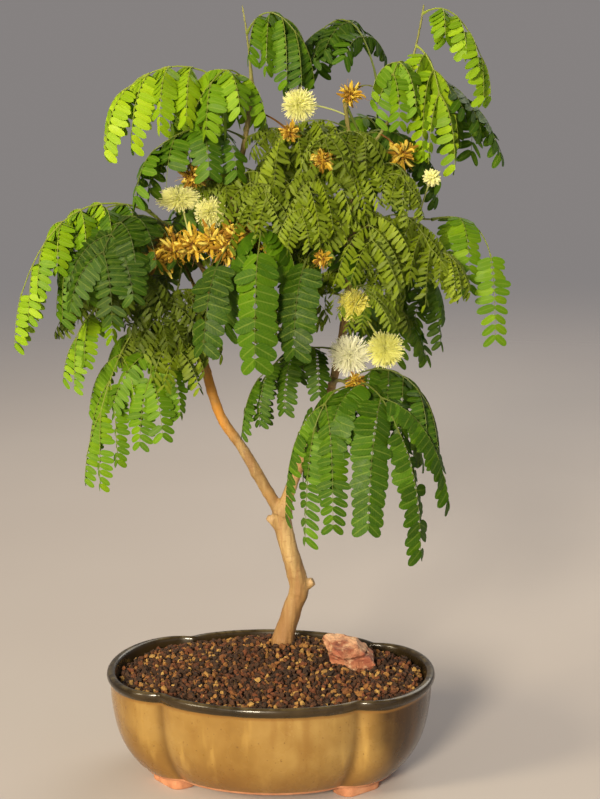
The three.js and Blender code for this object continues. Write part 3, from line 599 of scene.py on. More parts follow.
# Unglazed fired clay on the feet and the underside
def clay_material():
    n = Nodes("fired_clay")
    n.base(n.noise(90, 5, 0.65), (0.3, 0.36, 0.14, 0.065), (0.55, 0.52, 0.23, 0.115),
           (0.78, 0.62, 0.33, 0.19))
    n.tint((0.24, 0.1, 0.05), n.noise(1500, 2), 0.62, 0.72, 0.6)
    n.bump(n.noise(1100, 4, 0.7), 0.4, 0.0005)
    return n.done(n.surface(0.86))


# Tan bark with long streaks, pores and cracks, orange where it peels, greener on young shoots
def bark_material():
    n = Nodes("bark")
    grain = n.noise(150, 6, 0.62, n.stretched(1, 1, 0.14))
    n.base(grain, (0.26, 0.175, 0.096, 0.03), (0.44, 0.295, 0.18, 0.064), (0.58, 0.41, 0.275, 0.11),
           (0.76, 0.54, 0.39, 0.18))
    n.tint((0.36, 0.2, 0.06), n.noise(34, 4, 0.6), 0.5, 0.72, 0.6)
    speckled = n.stretched(0.34, 0.34, 1.5)
    n.tint((0.25, 0.135, 0.05), n.noise(620, 2, 0.5, speckled), 0.62, 0.7, 0.8)
    cracks = n.between(n.cells(170, "DISTANCE_TO_EDGE", n.stretched(1, 1, 0.16)), 0.07, 0, 0, 0.7)
    n.cover(n.times(cracks, n.between(n.noise(60, 3), 0.46, 0.62)), (0.19, 0.1, 0.04))
    # Painted shade, darker in the deep furrows
    n.mark((0.3, 0.165, 0.06), "hollow", 0.8)
    n.mark((0.56, 0.24, 0.025), "peel", n.between(n.noise(70, 4, 0.6), 0.3, 0.62, 0.25, 1))
    n.mark((0.13, 0.16, 0.025), "young", 0.85)
    n.tint((0.24, 0.115, 0.035), n.axis("Z"), 0.135, 0.07, 0.85)
    n.mark((0.42, 0.28, 0.14), "cut", 0.7)
    n.bump(grain, 0.7, 0.0011)
    n.bump(n.noise(640, 2, 0.5, speckled), 0.35, 0.0005)
    return n.done(n.surface(n.between(grain, 0.3, 0.7, 0.75, 0.55)))


# Leaflets: a pale rib, side veins, a paler underside, light through the blade
def leaf_material():
    n = Nodes("leaf")
    # Each leaf's brightness is partly its own green and partly painted light and shade
    tone = n.kept("tone")
    n.base(tone, (0.0, 0.018, 0.055, 0.001), (0.35, 0.042, 0.12, 0.001), (0.62, 0.135, 0.285, 0.002),
           (0.85, 0.29, 0.47, 0.005), (1.0, 0.43, 0.6, 0.012))
    young = n.ramp(tone, (0.0, 0.055, 0.07, 0.003), (0.5, 0.22, 0.255, 0.01), (1.0, 0.46, 0.48, 0.02))
    n.cover(n.kept("olive"), young)
    n.tint((0.2, 0.32, 0.004), n.noise(420, 3), 0.4, 0.75, 0.15)
    side = n.math("ABSOLUTE", n.kept("across"))
    veins = n.math("SINE", n.times(n.math("SUBTRACT", n.kept("along"), n.times(side, 0.22)), 44))
    n.tint((0.4, 0.5, 0.06), veins, 0.6, 1, 0.08)
    rib = n.between(side, 0.15, 0.02, 0, 0.32)
    n.cover(n.times(rib, 0.6), (0.5, 0.58, 0.1))
    n.mark((0.24, 0.34, 0.04), "under", 0.175)
    stem = n.kept("stem")
    n.cover(stem, n.ramp(tone, (0, 0.06, 0.085, 0.015), (1, 0.25, 0.31, 0.04)))
    relief = n.plus(n.times(rib, -0.8), n.times(veins, 0.14))
    n.bump(n.plus(relief, n.times(n.noise(1300, 2), 0.5)), 0.35, 0.0003)
    face = n.surface(n.between(n.noise(260, 2), 0.3, 0.7, 0.46, 0.64), specular_ior_level=0.28)
    share = n.times(n.math("SUBTRACT", 1, stem), 0.3)
    return n.done(n.lit_through(share, face, n.mix(0.55, n.colour, (0.4, 0.7, 0.01))))


# Fine threads of a fresh flower head, from its heart to its tips
def stamen_material(name, heart, thread, tip):
    n = Nodes(name)
    n.base(n.kept("along"), (0.0, *heart), (0.35, *thread), (0.8, *thread), (1.0, *tip))
    n.tint(tip, n.noise(240, 2), 0.35, 0.7, 0.25)
    return n.done(n.lit_through(0.45, n.surface(0.55, sheen_weight=0.2), n.colour))


# Spent petals and threads: golden where fresh, brown where dry, light through them
def dried_material():
    n = Nodes("dried_flower")
    n.base(n.kept("tone"), (0.0, 0.055, 0.02, 0.003), (0.3, 0.22, 0.09, 0.007), (0.55, 0.5, 0.29, 0.014),
           (0.78, 0.72, 0.5, 0.035), (1.0, 0.9, 0.78, 0.16))
    n.tint((0.34, 0.12, 0.015), n.noise(420, 3), 0.5, 0.78, 0.5)
    n.bump(n.noise(1500, 2), 0.3, 0.0003)
    return n.done(n.lit_through(0.3, n.surface(0.7), n.colour))


# Baked-clay granules, each of its own shade
def grain_material():
    n = Nodes("soil_granules")
    n.base(n.kept("tone"), (0.0, 0.006, 0.002, 0.001), (0.25, 0.018, 0.006, 0.002),
           (0.5, 0.052, 0.016, 0.004), (0.7, 0.135, 0.033, 0.008), (0.86, 0.25, 0.11, 0.022),
           (1.0, 0.46, 0.28, 0.075))
    n.tint((0.24, 0.115, 0.045), n.noise(1900, 3, 0.65), 0.35, 0.7, 0.25)
    n.tint((0.03, 0.014, 0.008), n.noise(900, 2), 0.56, 0.75, 0.7)
    n.bump(n.noise(2100, 4, 0.7), 0.7, 0.0006)
    return n.done(n.surface(0.88))


def bed_material():
    n = Nodes("soil_bed")
    n.base(n.noise(700, 5, 0.7), (0.3, 0.012, 0.006, 0.003), (0.6, 0.05, 0.022, 0.011),
           (0.8, 0.12, 0.055, 0.028))
    n.bump(n.cells(420), 0.9, 0.0012)
    return n.done(n.surface(0.95))


# Salmon rock: pale patches, painted light on its top, painted shade in its chips and under its ledge
def rock_material():
    n = Nodes("rock")
    layers = n.noise(58, 6, 0.62, n.stretched(1, 1, 2.6))
    n.base(layers, (0.32, 0.1, 0.022, 0.012), (0.42, 0.26, 0.075, 0.036), (0.54, 0.36, 0.13, 0.062),
           (0.68, 0.56, 0.3, 0.16))
    # Painted light: the top of the rock is paler
    top = n.between(n.axis("Z"), 0.07, 0.083, 0, 0.55)
    n.cover(n.times(top, n.between(layers, 0.4, 0.56)), (0.72, 0.45, 0.27))
    n.tint((0.7, 0.48, 0.29), n.noise(190, 4, 0.65), 0.52, 0.66, 0.7)
    n.tint((0.46, 0.12, 0.075), n.noise(48, 3, 0.6, n.stretched(1, 1, 0.5)), 0.54, 0.7, 0.6)
    # Painted shade in the chips and under the ledge
    n.mark((0.14, 0.035, 0.02), "hollow", 0.85)
    n.bump(n.noise(420, 6, 0.7), 0.75, 0.0013)
    n.bump(layers, 0.5, 0.0016)
    return n.done(n.surface(0.75))


def plastic_material():
    n = Nodes("black_plastic")
    n.base(n.noise(120, 3), (0.3, 0.012, 0.012, 0.013), (0.7, 0.035, 0.034, 0.033))
    n.bump(n.noise(2400, 2), 0.2, 0.0002)
    return n.done(n.surface(n.between(n.noise(300, 2), 0.3, 0.7, 0.5, 0.7)))


def wire_material():
    n = Nodes("aluminium_wire")
    drawn = n.noise(1600, 2, 0.5, n.stretched(0.08, 1, 1))
    n.base(drawn, (0.3, 0.42, 0.42, 0.41), (0.7, 0.66, 0.66, 0.64))
    n.bump(drawn, 0.2, 0.0002)
    return n.done(n.surface(n.between(drawn, 0.3, 0.7, 0.3, 0.46), metallic=1.0))


# A pale floor that fades out into the pale surroundings far from the pot
def floor_material():
    n = Nodes("pale_floor")
    n.base(n.noise(1.4, 3), (0.35, 0.52, 0.475, 0.455), (0.65, 0.56, 0.52, 0.5))
    gone = n.add("ShaderNodeBsdfTransparent").outputs[0]
    far = n.add("ShaderNodeVectorMath", {0: n.place}, operation="LENGTH").outputs["Value"]
    return n.done(n.blend(n.between(far, 0.7, 2.1), n.surface(0.75), gone))


# The pot's outline at the rim, anticlockwise, and how near each of its points is to a crease, from 0 to 1
def pot_outline():
    sag = SIDE_DEPTH - END_DEPTH
    side_radius = (END_X**2 + sag**2) / (2 * sag)
    half = asin(END_X / side_radius)
    turn = np.arange(END_POINTS) / END_POINTS * pi - pi / 2
    end = np.stack([END_X + END_LENGTH * np.cos(turn), END_DEPTH * np.sin(turn)], axis=1)
    turn = pi / 2 - half + np.arange(SIDE_POINTS) / SIDE_POINTS * 2 * half
    side = side_radius * np.stack([np.cos(turn), np.sin(turn)], axis=1) + [0, SIDE_DEPTH - side_radius]
    outline = np.concatenate([end, side, -end, -side])
    corners = (0, END_POINTS, END_POINTS + SIDE_POINTS, 2 * END_POINTS + SIDE_POINTS)
    away = np.min([np.linalg.norm(outline - outline[corner], axis=1) for corner in corners], axis=0)
    outline *= 1 - CREASE_PINCH * np.exp(-away / CREASE_WIDTH)[:, None]
    for _ in range(CREASE_SMOOTHING):
        outline = (np.roll(outline, 1, axis=0) + 2 * outline + np.roll(outline, -1, axis=0)) / 4
    return outline, np.exp(-((away / CREASE_SHADE) ** 2))


# Rows of [share, height] with smooth steps added between them
def smooth_rows(rows):
    rows = np.array(rows, float)
    steps = WALL_STEPS * (len(rows) - 1)
    return np.array([spline(rows, i / steps) for i in range(steps + 1)])


def at_height(points, z):
    return np.column_stack([points, np.full(len(points), z)])


def pot_body():
    outline, crease = pot_outline()
    outer, inner = smooth_rows(OUTER_WALL), smooth_rows(INNER_WALL)
    rings = [at_height(outline * share, z) for share, z in [*outer, *inner]]
    inside = np.repeat(np.arange(len(rings)) >= len(outer), len(outline))
    shape = Shape()
    shape.add(*closed(rings, [0, 0, BODY_BOTTOM], [0, 0, FLOOR_TOP]), inside=np.append(inside, [0, 1]),
              crease=np.append(np.tile(crease, len(rings)), [0, 0]))
    return shape


def foot_outline(side_x, side_y):
    corner = FOOT["corner"]
    points = []
    for quarter, (x, y) in enumerate([(1, 1), (-1, 1), (-1, -1), (1, -1)]):
        for step in range(FOOT_CORNER_STEPS + 1):
            turn = (quarter + step / FOOT_CORNER_STEPS) * pi / 2
            points.append([x * (FOOT["length"] / 2 - corner) + corner * cos(turn),
                           y * (FOOT["width"] / 2 - corner) + corner * sin(turn)])
    turn = -side_x * side_y * FOOT["turn"]
    points = np.array(points) @ np.array([[cos(turn), sin(turn)], [-sin(turn), cos(turn)]])
    return points + [side_x * FOOT["x"], side_y * FOOT["y"]]


# A foot: a low block with rounded corners, a soft lower edge and a top sunk in the pot
def add_foot(shape, side_x, side_y):
    outline = foot_outline(side_x, side_y)
    middle = outline.mean(axis=0)
    rings = [at_height(middle + (outline - middle) * share, z) for share, z in FOOT_WALL]
    shape.add(*closed(rings, [*middle, 0], [*middle, FOOT_WALL[-1][1]]), inside=0.0, crease=0.0)


# A hole through the pot's floor: the tool that cuts it is returned
def drill(obj, x):
    form = bmesh.new()
    radius = DRAIN_RADIUS * MM
    bmesh.ops.create_cone(form, cap_ends=True, segments=64, radius1=radius, radius2=radius,
                          depth=DRILL_LENGTH_M)
    tool = linked("drill", mesh_of("drill", form))
    tool.location = placed([x, 0, BODY_BOTTOM])
    bpy.context.view_layer.update()
    cut = obj.modifiers.new("drain", "BOOLEAN")
    cut.object = tool
    cut.operation = "DIFFERENCE"
    cut.solver = "EXACT"
    return tool


def make_pot():
    obj = pot_body().object("pot_body", glaze_material(), 50)
    tools = [drill(obj, x) for x in (-DRAIN_X, DRAIN_X)]
    body = applied(obj)
    for tool in tools:
        bpy.data.objects.remove(tool)
    feet = Shape()
    for side_x in (-1, 1):
        for side_y in (-1, 1):
            add_foot(feet, side_x, side_y)
    loose_feet = feet.object("pot_feet", clay_material())
    form = bmesh.new()
    form.from_mesh(body)
    form.from_mesh(loose_feet.data)
    bpy.data.objects.remove(loose_feet)
    form.to_mesh(body)
    form.free()
    body.materials.clear()
    for face in body.polygons:
        low = max(body.vertices[corner].co.z for corner in face.vertices) < CLAY_TOP * MM
        face.material_index = 1 if low else 0
    pot = shown("glazed_pot", body, glaze_material(), 50)
    body.materials.append(clay_material())
    return pot


# A branch's curve and radius, as functions of the place on it from 0 to 1
def branch(name):
    if name in LIMBS:
        rows = np.array(LIMBS[name], float)
        return lambda t: spline(rows[:, :3], t), lambda t: spline(rows[:, 3:], t)[0]
    start, at, over, tip, radius = TWIGS[name]
    a, b, c = branch(start)[0](at), np.array(over, float), np.array(tip, float)
    taper = STUB_TAPER if name.startswith("pruned") else SHOOT_TAPER
    return lambda t: bend(a, b, c, t), lambda t: radius * (1 + (taper - 1) * t)


# Rings along a branch: a flare where it leaves its parent, and small swellings at old leaf scars
def branch_rings(name, key):
    curve, radius = branch(name)
    length = np.linalg.norm(np.diff([curve(t) for t in np.linspace(0, 1, 20)], axis=0), axis=1).sum()
    end = STUB_END if name.startswith("pruned") else 1
    places = np.linspace(0, end, max(8, int(length / RING_SPACING)))
    slim, swell = TRUNK_FORM if name == "trunk" else LIMB_FORM
    radii = []
    for place in places:
        size = radius(place) * slim
        if name in TWIGS:
            size *= 1 + 0.8 * np.exp(-place * length / FLARE_LENGTH)
        scar = (place * length / SCAR_SPACING + chance(key, 3)) % 1
        radii.append(size * (1 + swell * np.exp(-(((scar - 0.5) / 0.09) ** 2))))
    return np.array([curve(t) for t in places]), radii


# Trunk, limbs, shoots and roots grown together as one surface
def make_trunk():
    shape = Shape()
    centres = []
    for key, name in enumerate([*LIMBS, *TWIGS]):
        points, radii = branch_rings(name, key)
        shape.add(*tube(points, radii, LIMB_SIDES))
        for i, (point, radius) in enumerate(zip(points, radii)):
            centres.append((point, radius, name.startswith("pruned"), i / len(points)))
    rough = shape.object("rough_trunk", bark_material())
    fuse = rough.modifiers.new("fuse", "REMESH")
    fuse.mode = "VOXEL"
    fuse.voxel_size = TRUNK_VOXEL_M
    soften = rough.modifiers.new("soften", "SMOOTH")
    soften.factor = 0.5
    soften.iterations = 3
    mesh = applied(rough)
    finish_bark(mesh, centres)
    stands_for(shown("living_trunk", mesh, bark_material(), 60), "bark", "trunk")


# Long furrows and swellings in the bark, painted shade in the furrows, and where it is young, peeling or cut
def finish_bark(mesh, centres):
    tree = kdtree.KDTree(len(centres))
    for i, (point, *_) in enumerate(centres):
        tree.insert(Vector(point), i)
    tree.balance()
    points = (corners_of(mesh) - POT_MIDDLE_M) / MM
    ways = corners_of(mesh, "normal")
    young, peel, cut, hollow, lift = (np.zeros(len(points)) for _ in range(5))
    for i, point in enumerate(points):
        x, _, z = point
        _, radius, pruned, along = centres[tree.find(Vector(point))[1]]
        peel[i] = progress(x, -20, -34) * progress(z, 192, 216) * progress(z, 330, 300)
        furrow = wave(point, 0.42, 0.055, 7)
        relief = 0.08 * wave(point, 0.11, 0.05) + 0.07 * furrow + 0.025 * wave(point, 0.9, 0.22, 2)
        lift[i] = min(radius, 6) * relief + 0.06 * wave(point, 0.08, 0.75) * min(1, radius / 3)
        # Painted shade: the deeper a corner lies in a furrow, the darker the bark there
        hollow[i] = progress(-furrow, 0.16, 0.4725) * min(1, radius / 4)
        if pruned:
            cut[i] = along > 0.7
            lift[i] += 0.6 * along * wave(point, 0.7, 0.7)
        else:
            young[i] = progress(radius, 2.4, 1)
    set_corners(mesh, placed(points + ways * lift[:, None]))
    keep(mesh, young=young, peel=peel, cut=cut, hollow=hollow)


# The soil's height on the way from the trunk's foot at 0 to the wall at 1
def soil_height(step):
    return SOIL_EDGE + SOIL_RISE * (1 - step**1.5)


def soil_outline(outline, step):
    return FOOT_OF_TRUNK + (outline * SOIL_SHARE - FOOT_OF_TRUNK) * step


# The soil bed under the granules, down to the pot's floor
def make_bed():
    outline = pot_outline()[0][::3]
    rings = [at_height(outline * share, z) for share, z in BED_WALL]
    for step in np.linspace(1, 0.03, BED_RINGS):
        ring = at_height(soil_outline(outline, step), soil_height(step) - BED_BELOW_SURFACE)
        for point in ring:
            point[2] += 0.7 * wave(point, 0.35, 0.35)
        rings.append(ring)
    shape = Shape()
    shape.add(*closed(rings, [0, 0, BED_WALL[0][1]], [*FOOT_OF_TRUNK, rings[-1][0][2]]))
    return shape.object("soil_bed", bed_material(), 60)


# Crushed granules: the hulls of a few corners each, in a handful of kinds
def grain_kinds(random):
    kinds = []
    for _ in range(GRAIN_KINDS):
        form = bmesh.new()
        for way in unit(random.normal(size=(15, 3))):
            form.verts.new(way * random.uniform(0.8, 1.1) * [1.15, random.uniform(0.7, 0.95), 0.75])
        found = bmesh.ops.convex_hull(form, input=form.verts)["geom_interior"]
        inner = [part for part in found if isinstance(part, bmesh.types.BMVert)]
        bmesh.ops.delete(form, geom=inner, context="VERTS")
        bmesh.ops.recalc_face_normals(form, faces=form.faces)
        form.verts.index_update()
        corners = np.array([corner.co for corner in form.verts])
        faces = [[corner.index for corner in face.verts] for face in form.faces]
        kinds.append((corners, faces))
        form.free()
    return kinds


def inside_outline(outline, x, y):
    x0, y0 = outline[:, 0], outline[:, 1]
    x1, y1 = np.roll(x0, -1), np.roll(y0, -1)
    crosses = (y0 > y) != (y1 > y)
    with np.errstate(divide="ignore", invalid="ignore"):
        at = x0 + (y - y0) * (x1 - x0) / (y1 - y0)
    return np.count_nonzero(crosses & (x < at)) % 2 == 1


# How far from the trunk's foot towards the wall a place on the soil lies, from 0 to 1
def soil_step(outline, x, y):
    low, high = 0.0, 1.0
    for _ in range(12):
        middle = (low + high) / 2
        if inside_outline(soil_outline(outline, middle), x, y):
            high = middle
        else:
            low = middle
    return high


def turned(random):
    a, b = unit(random.normal(size=3)), unit(random.normal(size=3))
    c = unit(np.cross(a, b))
    return np.array([a, np.cross(c, a), c])


def make_grains():
    random = np.random.default_rng(7)
    kinds = grain_kinds(random)
    outline = pot_outline()[0][::4]
    shape = Shape()
    rows = int(SIDE_DEPTH / GRAIN_SPACING) + 4
    columns = int((END_X + END_LENGTH) / GRAIN_SPACING) + 2
    for share, lift, smallest, largest in GRAIN_LAYERS:
        for row in range(-rows, rows + 1):
            for column in range(-columns, columns + 1):
                x = (column + 0.5 * (row % 2)) * GRAIN_SPACING + random.uniform(-1, 1)
                y = row * GRAIN_SPACING * 0.87 + random.uniform(-1, 1)
                chosen = random.uniform() < share
                if not chosen or not inside_outline(outline * (SOIL_SHARE - 0.012), x, y):
                    continue
                near_trunk = np.hypot(x - FOOT_OF_TRUNK[0], y - FOOT_OF_TRUNK[1]) < GRAIN_TO_TRUNK
                near_rock = np.hypot((x - ROCK_AT[0]) / ROCK_SIZE[0], (y - ROCK_AT[1]) / ROCK_SIZE[1]) < 1.02
                if near_trunk or near_rock:
                    continue
                size = random.uniform(smallest, largest)
                z = soil_height(soil_step(outline, x, y)) + lift + random.uniform(-0.5, 0.5)
                corners, faces = kinds[random.integers(GRAIN_KINDS)]
                points = corners @ turned(random) * size + [x, y, z]
                shape.add(points, faces, tone=random.uniform() ** 1.15)
    return shape.object("soil_granules", grain_material(), 25)


# A ball cut flat in many ways, then layered, chipped and cracked
def make_rock():
    form = bmesh.new()
    bmesh.ops.create_icosphere(form, subdivisions=6, radius=1)
    mesh = mesh_of("rock", form)
    random = np.random.default_rng(12)
    points = unit(corners_of(mesh))
    for way in unit(np.concatenate([random.normal(size=(16, 3)), ROCK_CUTS])):
        over = points @ way - random.uniform(0.52, 0.78)
        points -= np.outer(np.clip(over, 0, None), way)
    hollow = np.zeros(len(points))
    for i, point in enumerate(points):
        place = Vector(point)
        chips = noise.turbulence(place * 4.5, 3, False)
        ledge = np.exp(-(((place.z - 0.28 - 0.25 * noise.noise(place * 1.4)) / 0.045) ** 2)) * (place.y < 0.1)
        # Painted shade is kept for the chips and for the groove under the top ledge on the front
        hollow[i] = np.clip((chips - 0.7) * 2, 0, 0.5) + 0.8 * ledge
        points[i] = point * (1 + 0.06 * wave(place, 1.6, 6, 4) - 0.05 * chips - 0.15 * ledge)
    points[:, 0] -= 0.2 * points[:, 2]
    low, high = points.min(axis=0), points.max(axis=0)
    points = (points - (low + high) / 2) / ((high - low) / 2)
    set_corners(mesh, placed(points * ROCK_SIZE + ROCK_AT))
    keep(mesh, hollow=hollow)
    stands_for(shown("salmon_rock", mesh, rock_material(), 28), "rock", "rock")


# A leaflet of length 1: two halves that meet in a shallow groove over a rounded underside
class Leaflet:
    def __init__(self, outline, width, pitch, olive, loose):
        self.pitch = pitch
        self.olive = olive
        self.loose = loose
        rows = [(1, 0.012, 0), (0, -0.006, 0), (-1, 0.012, 0), (0, -0.032, 1)]
        rings = [[[place, side * half * width / 2, lift] for side, lift, _ in rows]
                 for place, half in outline]
        self.corners, self.faces = closed(rings, [0, 0, -0.01], [1, 0, -0.01])
        self.along = np.array([place for place, _ in outline for _ in rows] + [0, 1])
        self.across = np.array([side for side, _, _ in rows] * len(outline) + [0, 0])
        self.under = np.array([below for _, _, below in rows] * len(outline) + [0, 0])


GROWN = Leaflet(LEAFLET_OUTLINE, LEAFLET_WIDTH, LEAFLET_PITCH, olive=0.0, loose=1.0)
BROAD = Leaflet(LEAFLET_OUTLINE, BROAD_WIDTH, BROAD_PITCH, olive=0.0, loose=1.0)
YOUNG = Leaflet(YOUNG_OUTLINE, YOUNG_WIDTH, YOUNG_PITCH, olive=0.6, loose=2.6)


# A leaf's side stalks: points, the way its leaflets spread, length. A last angle of 0 ends the leaf in one
def side_stalks(stalk, pairs, long, droop, last_angle, index):
    stalks = []
    for pair in range(pairs):
        place = pair / (pairs - 1)
        t = BARE_STALK + (1 - BARE_STALK) * place
        start, way = bend(*stalk, t), bend_way(*stalk, t)
        across = unit(np.cross(way, UP))
        normal = np.cross(across, way)
        angle = radians(FIRST_ANGLE + (last_angle - FIRST_ANGLE) * place**1.3)
        swell = sin(pi * (0.18 + 0.72 * place)) ** 0.8
        single = last_angle == 0 and pair == pairs - 1
        for hand in (0,) if single else (0, 1):
            key = pair * 2 + hand
            turn = angle * (0.9 + 0.2 * chance(index + 1, key))
            out = way * cos(turn) + across * (1 if hand else -1) * sin(turn)
            out = unit(out + normal * SIDE_SWAY * (chance(index + 57, key) - 0.5))
            vary = chance(index + 31, key + 7)
            hang = min(1, droop * (0.85 + 0.3 * vary))
            end = unit(out * (1 - hang) - UP * hang)
            length = long * (SIDE_SHORTEST + (1 - SIDE_SHORTEST) * swell) * (0.92 + 0.16 * vary)
            reach = SIDE_KNEE * min(1, (1.1 - droop) / 0.22)
            knee = start + reach * length * out
            tip = knee + (1 - reach) * length * end
            stalks.append((start, knee, tip, unit(np.cross(out, normal)), length))
    return stalks


# Whether a leaflet here would cut through a flower head, hide it from the front or shade it
def clear_of_flowers(point):
    for _, _, centre, radius in FLOWERS.values():
        away = point - centre
        reach = max(radius * CLEAR_SHARE, LEAST_CLEARANCE)
        for way, farthest in (FRONT_TO_BACK, KEY_TO_FLOWERS):
            behind = away @ way
            beside = np.linalg.norm(away - behind * way)
            if beside < reach and -farthest < behind < reach:
                return False
    return True


def add_leaflets(shape, stalk, kind, size, fold, tone, index, number):
    a, b, c, spread, length = stalk
    count = max(5, round(length / (size * kind.pitch)))
    for j in range(count):
        place = 0.1 + 0.9 * j / (count - 1)
        at, way = bend(a, b, c, place), bend_way(a, b, c, place)
        wide = unit(spread - way * (spread @ way))
        normal = np.cross(wide, way)
        grow = 0.74 + 0.26 * sin(pi * min(1, 0.12 + 0.7 * (j + 0.5) / count))
        for hand in (-1, 1):
            key = j * 2 + (hand > 0)
            vary = chance(index * 7 + number, key)
            other = chance(index * 5 + number + 3, key + 11)
            lean = radians(80 - 32 * max(0, (place - 0.6) / 0.4) + 10 * kind.loose * (vary - 0.5))
            drop = radians(fold) + 0.3 * kind.loose * (other - 0.5)
            out = wide * hand * cos(drop) - normal * sin(drop)
            ahead = unit(way * cos(lean) + out * sin(lean))
            side = unit(way - ahead * (way @ ahead))
            up = np.cross(ahead, side) * hand
            if up @ normal < 0:
                up = -up
            side = np.cross(up, ahead)
            long = size * grow * (0.92 + 0.16 * vary)
            if other < 0.02 or not clear_of_flowers(at + ahead * long * 0.6):
                continue
            points = kind.corners.copy()
            points[:, 2] -= (0.05 + 0.16 * other) * points[:, 0] ** 2
            points[:, 2] += 0.35 * (vary - 0.5) * points[:, 1]
            shade = np.clip(tone + 0.26 * (other - 0.5), 0, 1)
            shape.add(at + long * (points @ np.array([ahead, side, up])), kind.faces, tone=shade, stem=0.0,
                      along=kind.along, across=kind.across, under=kind.under, olive=kind.olive)


def add_stalk(shape, a, b, c, radius, sides, steps, tone, olive):
    radii = [radius * (1 - 0.45 * t + 0.9 * np.exp(-22 * t)) for t in np.linspace(0, 1, steps + 1)]
    shape.add(*bent_tube(a, b, c, radii, sides), tone=tone, stem=1.0, along=0.0, across=0.0, under=0.0,
              olive=olive)


# A twice-divided leaf: a stalk, pairs of side stalks, and two rows of leaflets on each
def add_leaf(shape, stalk, pairs, long, droop, size, last_angle, fold, tone, index):
    kind = YOUNG if size < YOUNG_BELOW else GROWN if size < BROAD_FROM else BROAD
    add_stalk(shape, *stalk, 0.42 if kind is YOUNG else 0.6, 6, 10, tone, kind.olive)
    for number, side in enumerate(side_stalks(stalk, pairs, long, droop, last_angle, index)):
        add_stalk(shape, *side[:3], 0.22 if kind is YOUNG else 0.3, 4, 7, tone, kind.olive)
        shade = tone + 0.16 * (chance(index + 91, number) - 0.5)
        add_leaflets(shape, side, kind, size, fold, shade, index, number)


def make_leaves():
    material = leaf_material()
    for index, (name, entry) in enumerate(LEAVES.items()):
        start, at, over, tip, *form = entry
        stalk = (branch(start)[0](at), np.array(over, float), np.array(tip, float))
        shape = Shape()
        add_leaf(shape, stalk, *form, index)
        stands_for(shape.object(f"compound_leaf_{name}", material, 45), "leaf", f"leaf_{name}")
    for number, spray in enumerate(SPRAYS):
        rides_on_root(spray_shape(number, *spray).object(f"young_spray_{number + 1}", material, 45))


# A thin shoot with a small leaf on each side and one at its end
def spray_shape(number, start, at, turn, reach, rise, tone):
    shape = Shape()
    out = np.array([cos(turn), sin(turn), 0.0])
    base = branch(start)[0](at)
    shoot = (base, base + out * reach * 0.5 + UP * (rise + 0.22 * reach), base + out * reach + UP * rise)
    add_stalk(shape, *shoot, 0.75, 6, 12, 0.5, olive=0.6)
    for which, (place, swing) in enumerate(SPRAY_LEAVES):
        key = number * 3 + which
        swing += 0.5 * (chance(key, 2) - 0.5)
        way = np.array([cos(turn + swing), sin(turn + swing), 0.0])
        length = 19 + 7 * chance(key, 4)
        foot = bend(*shoot, place)
        stalk = (foot, foot + way * length * 0.6 + UP * length * (0.15 + 0.3 * chance(key, 6)),
                 foot + way * length + UP * length * (0.1 - 0.35 * chance(key, 9)))
        long = 22 + 7 * chance(key, 3)
        size = SPRAY_LEAFLET * (0.88 + 0.3 * chance(key, 8))
        shade = tone + 0.2 * (chance(key, 5) - 0.5)
        add_leaf(shape, stalk, 4, long, 0.45 + 0.35 * chance(key, 7), size, 32, 40, shade, 200 + key)
    return shape


# Directions spread evenly over a sphere, each a little off its place
def even_ways(count, random):
    lift = 1 - 2 * (np.arange(count) + 0.5) / count
    turn = GOLDEN_ANGLE * np.arange(count)
    flat = np.sqrt(1 - lift**2)
    ways = np.column_stack([flat * np.cos(turn), flat * np.sin(turn), lift])
    return unit(ways + random.normal(scale=0.13, size=ways.shape))


def add_flower_stalk(shape, entry, tone):
    start, at, centre, _ = entry
    base, centre = branch(start)[0](at), np.array(centre, float)
    over = (base + centre) / 2 + UP * 0.12 * np.linalg.norm(centre - base)
    radii = [0.5 + 0.5 * t**6 for t in np.linspace(0, 1, 13)]
    shape.add(*bent_tube(base, over, centre, radii, 6), along=0.0, tone=tone)


# A round bud with a few sides
def add_bead(shape, centre, way, long, wide, **values):
    side = unit(np.cross(way, [0.31, 0.77, 0.55]))
    other = np.cross(way, side)
    turn = np.arange(6) * pi / 3
    around = (np.outer(np.cos(turn), side) + np.outer(np.sin(turn), other)) * wide
    rings = [centre + way * place * long + around * share
             for place, share in ((-0.6, 0.7), (0.1, 1), (0.7, 0.6))]
    shape.add(*closed(rings, centre - way * long, centre + way * long), **values)


# A curved thread or strap from one point to another
def add_thread(shape, start, knee, end, radii, sides, tone):
    along = np.append(np.repeat(np.linspace(0, 1, len(radii)), sides), [0, 1])
    shape.add(*bent_tube(start, knee, end, radii, sides), along=along, tone=tone)


# Threads from the heart of a head to its edge: how many, where they start and end, their bend and radii
def add_stamens(shape, centre, radius, spread, random, count, start, low, high, bend_by, radii):
    for way in even_ways(count, random):
        first = centre + way * radius * start
        last = centre + way * spread * radius * random.uniform(low, high)
        knee = (first + last) / 2 + random.normal(scale=radius * bend_by, size=3)
        add_thread(shape, first, knee, last, radii, 3, tone=0.5)


def make_puff(name, entry, material):
    random = np.random.default_rng(sum(map(ord, name)))
    centre, radius = np.array(entry[2], float), entry[3]
    head = (centre, radius, np.array(PUFF_SPREAD.get(name, [1, 1, 1])), random)
    shape = Shape()
    add_flower_stalk(shape, entry, 0.2)
    for way in even_ways(HEART_BEADS, random):
        add_bead(shape, centre + way * radius * 0.16, way, radius * 0.2, radius * 0.1, along=0.0, tone=0.3)
    add_stamens(shape, *head, STAMENS, 0.15, 0.8, 1.12, 0.08, [0.2, 0.17, 0.21])
    add_stamens(shape, *head, SHORT_STAMENS, 0.1, 0.5, 0.78, 0.12, [0.3, 0.32, 0.28])
    return shape.object(f"puffball_{name}", material, 60)


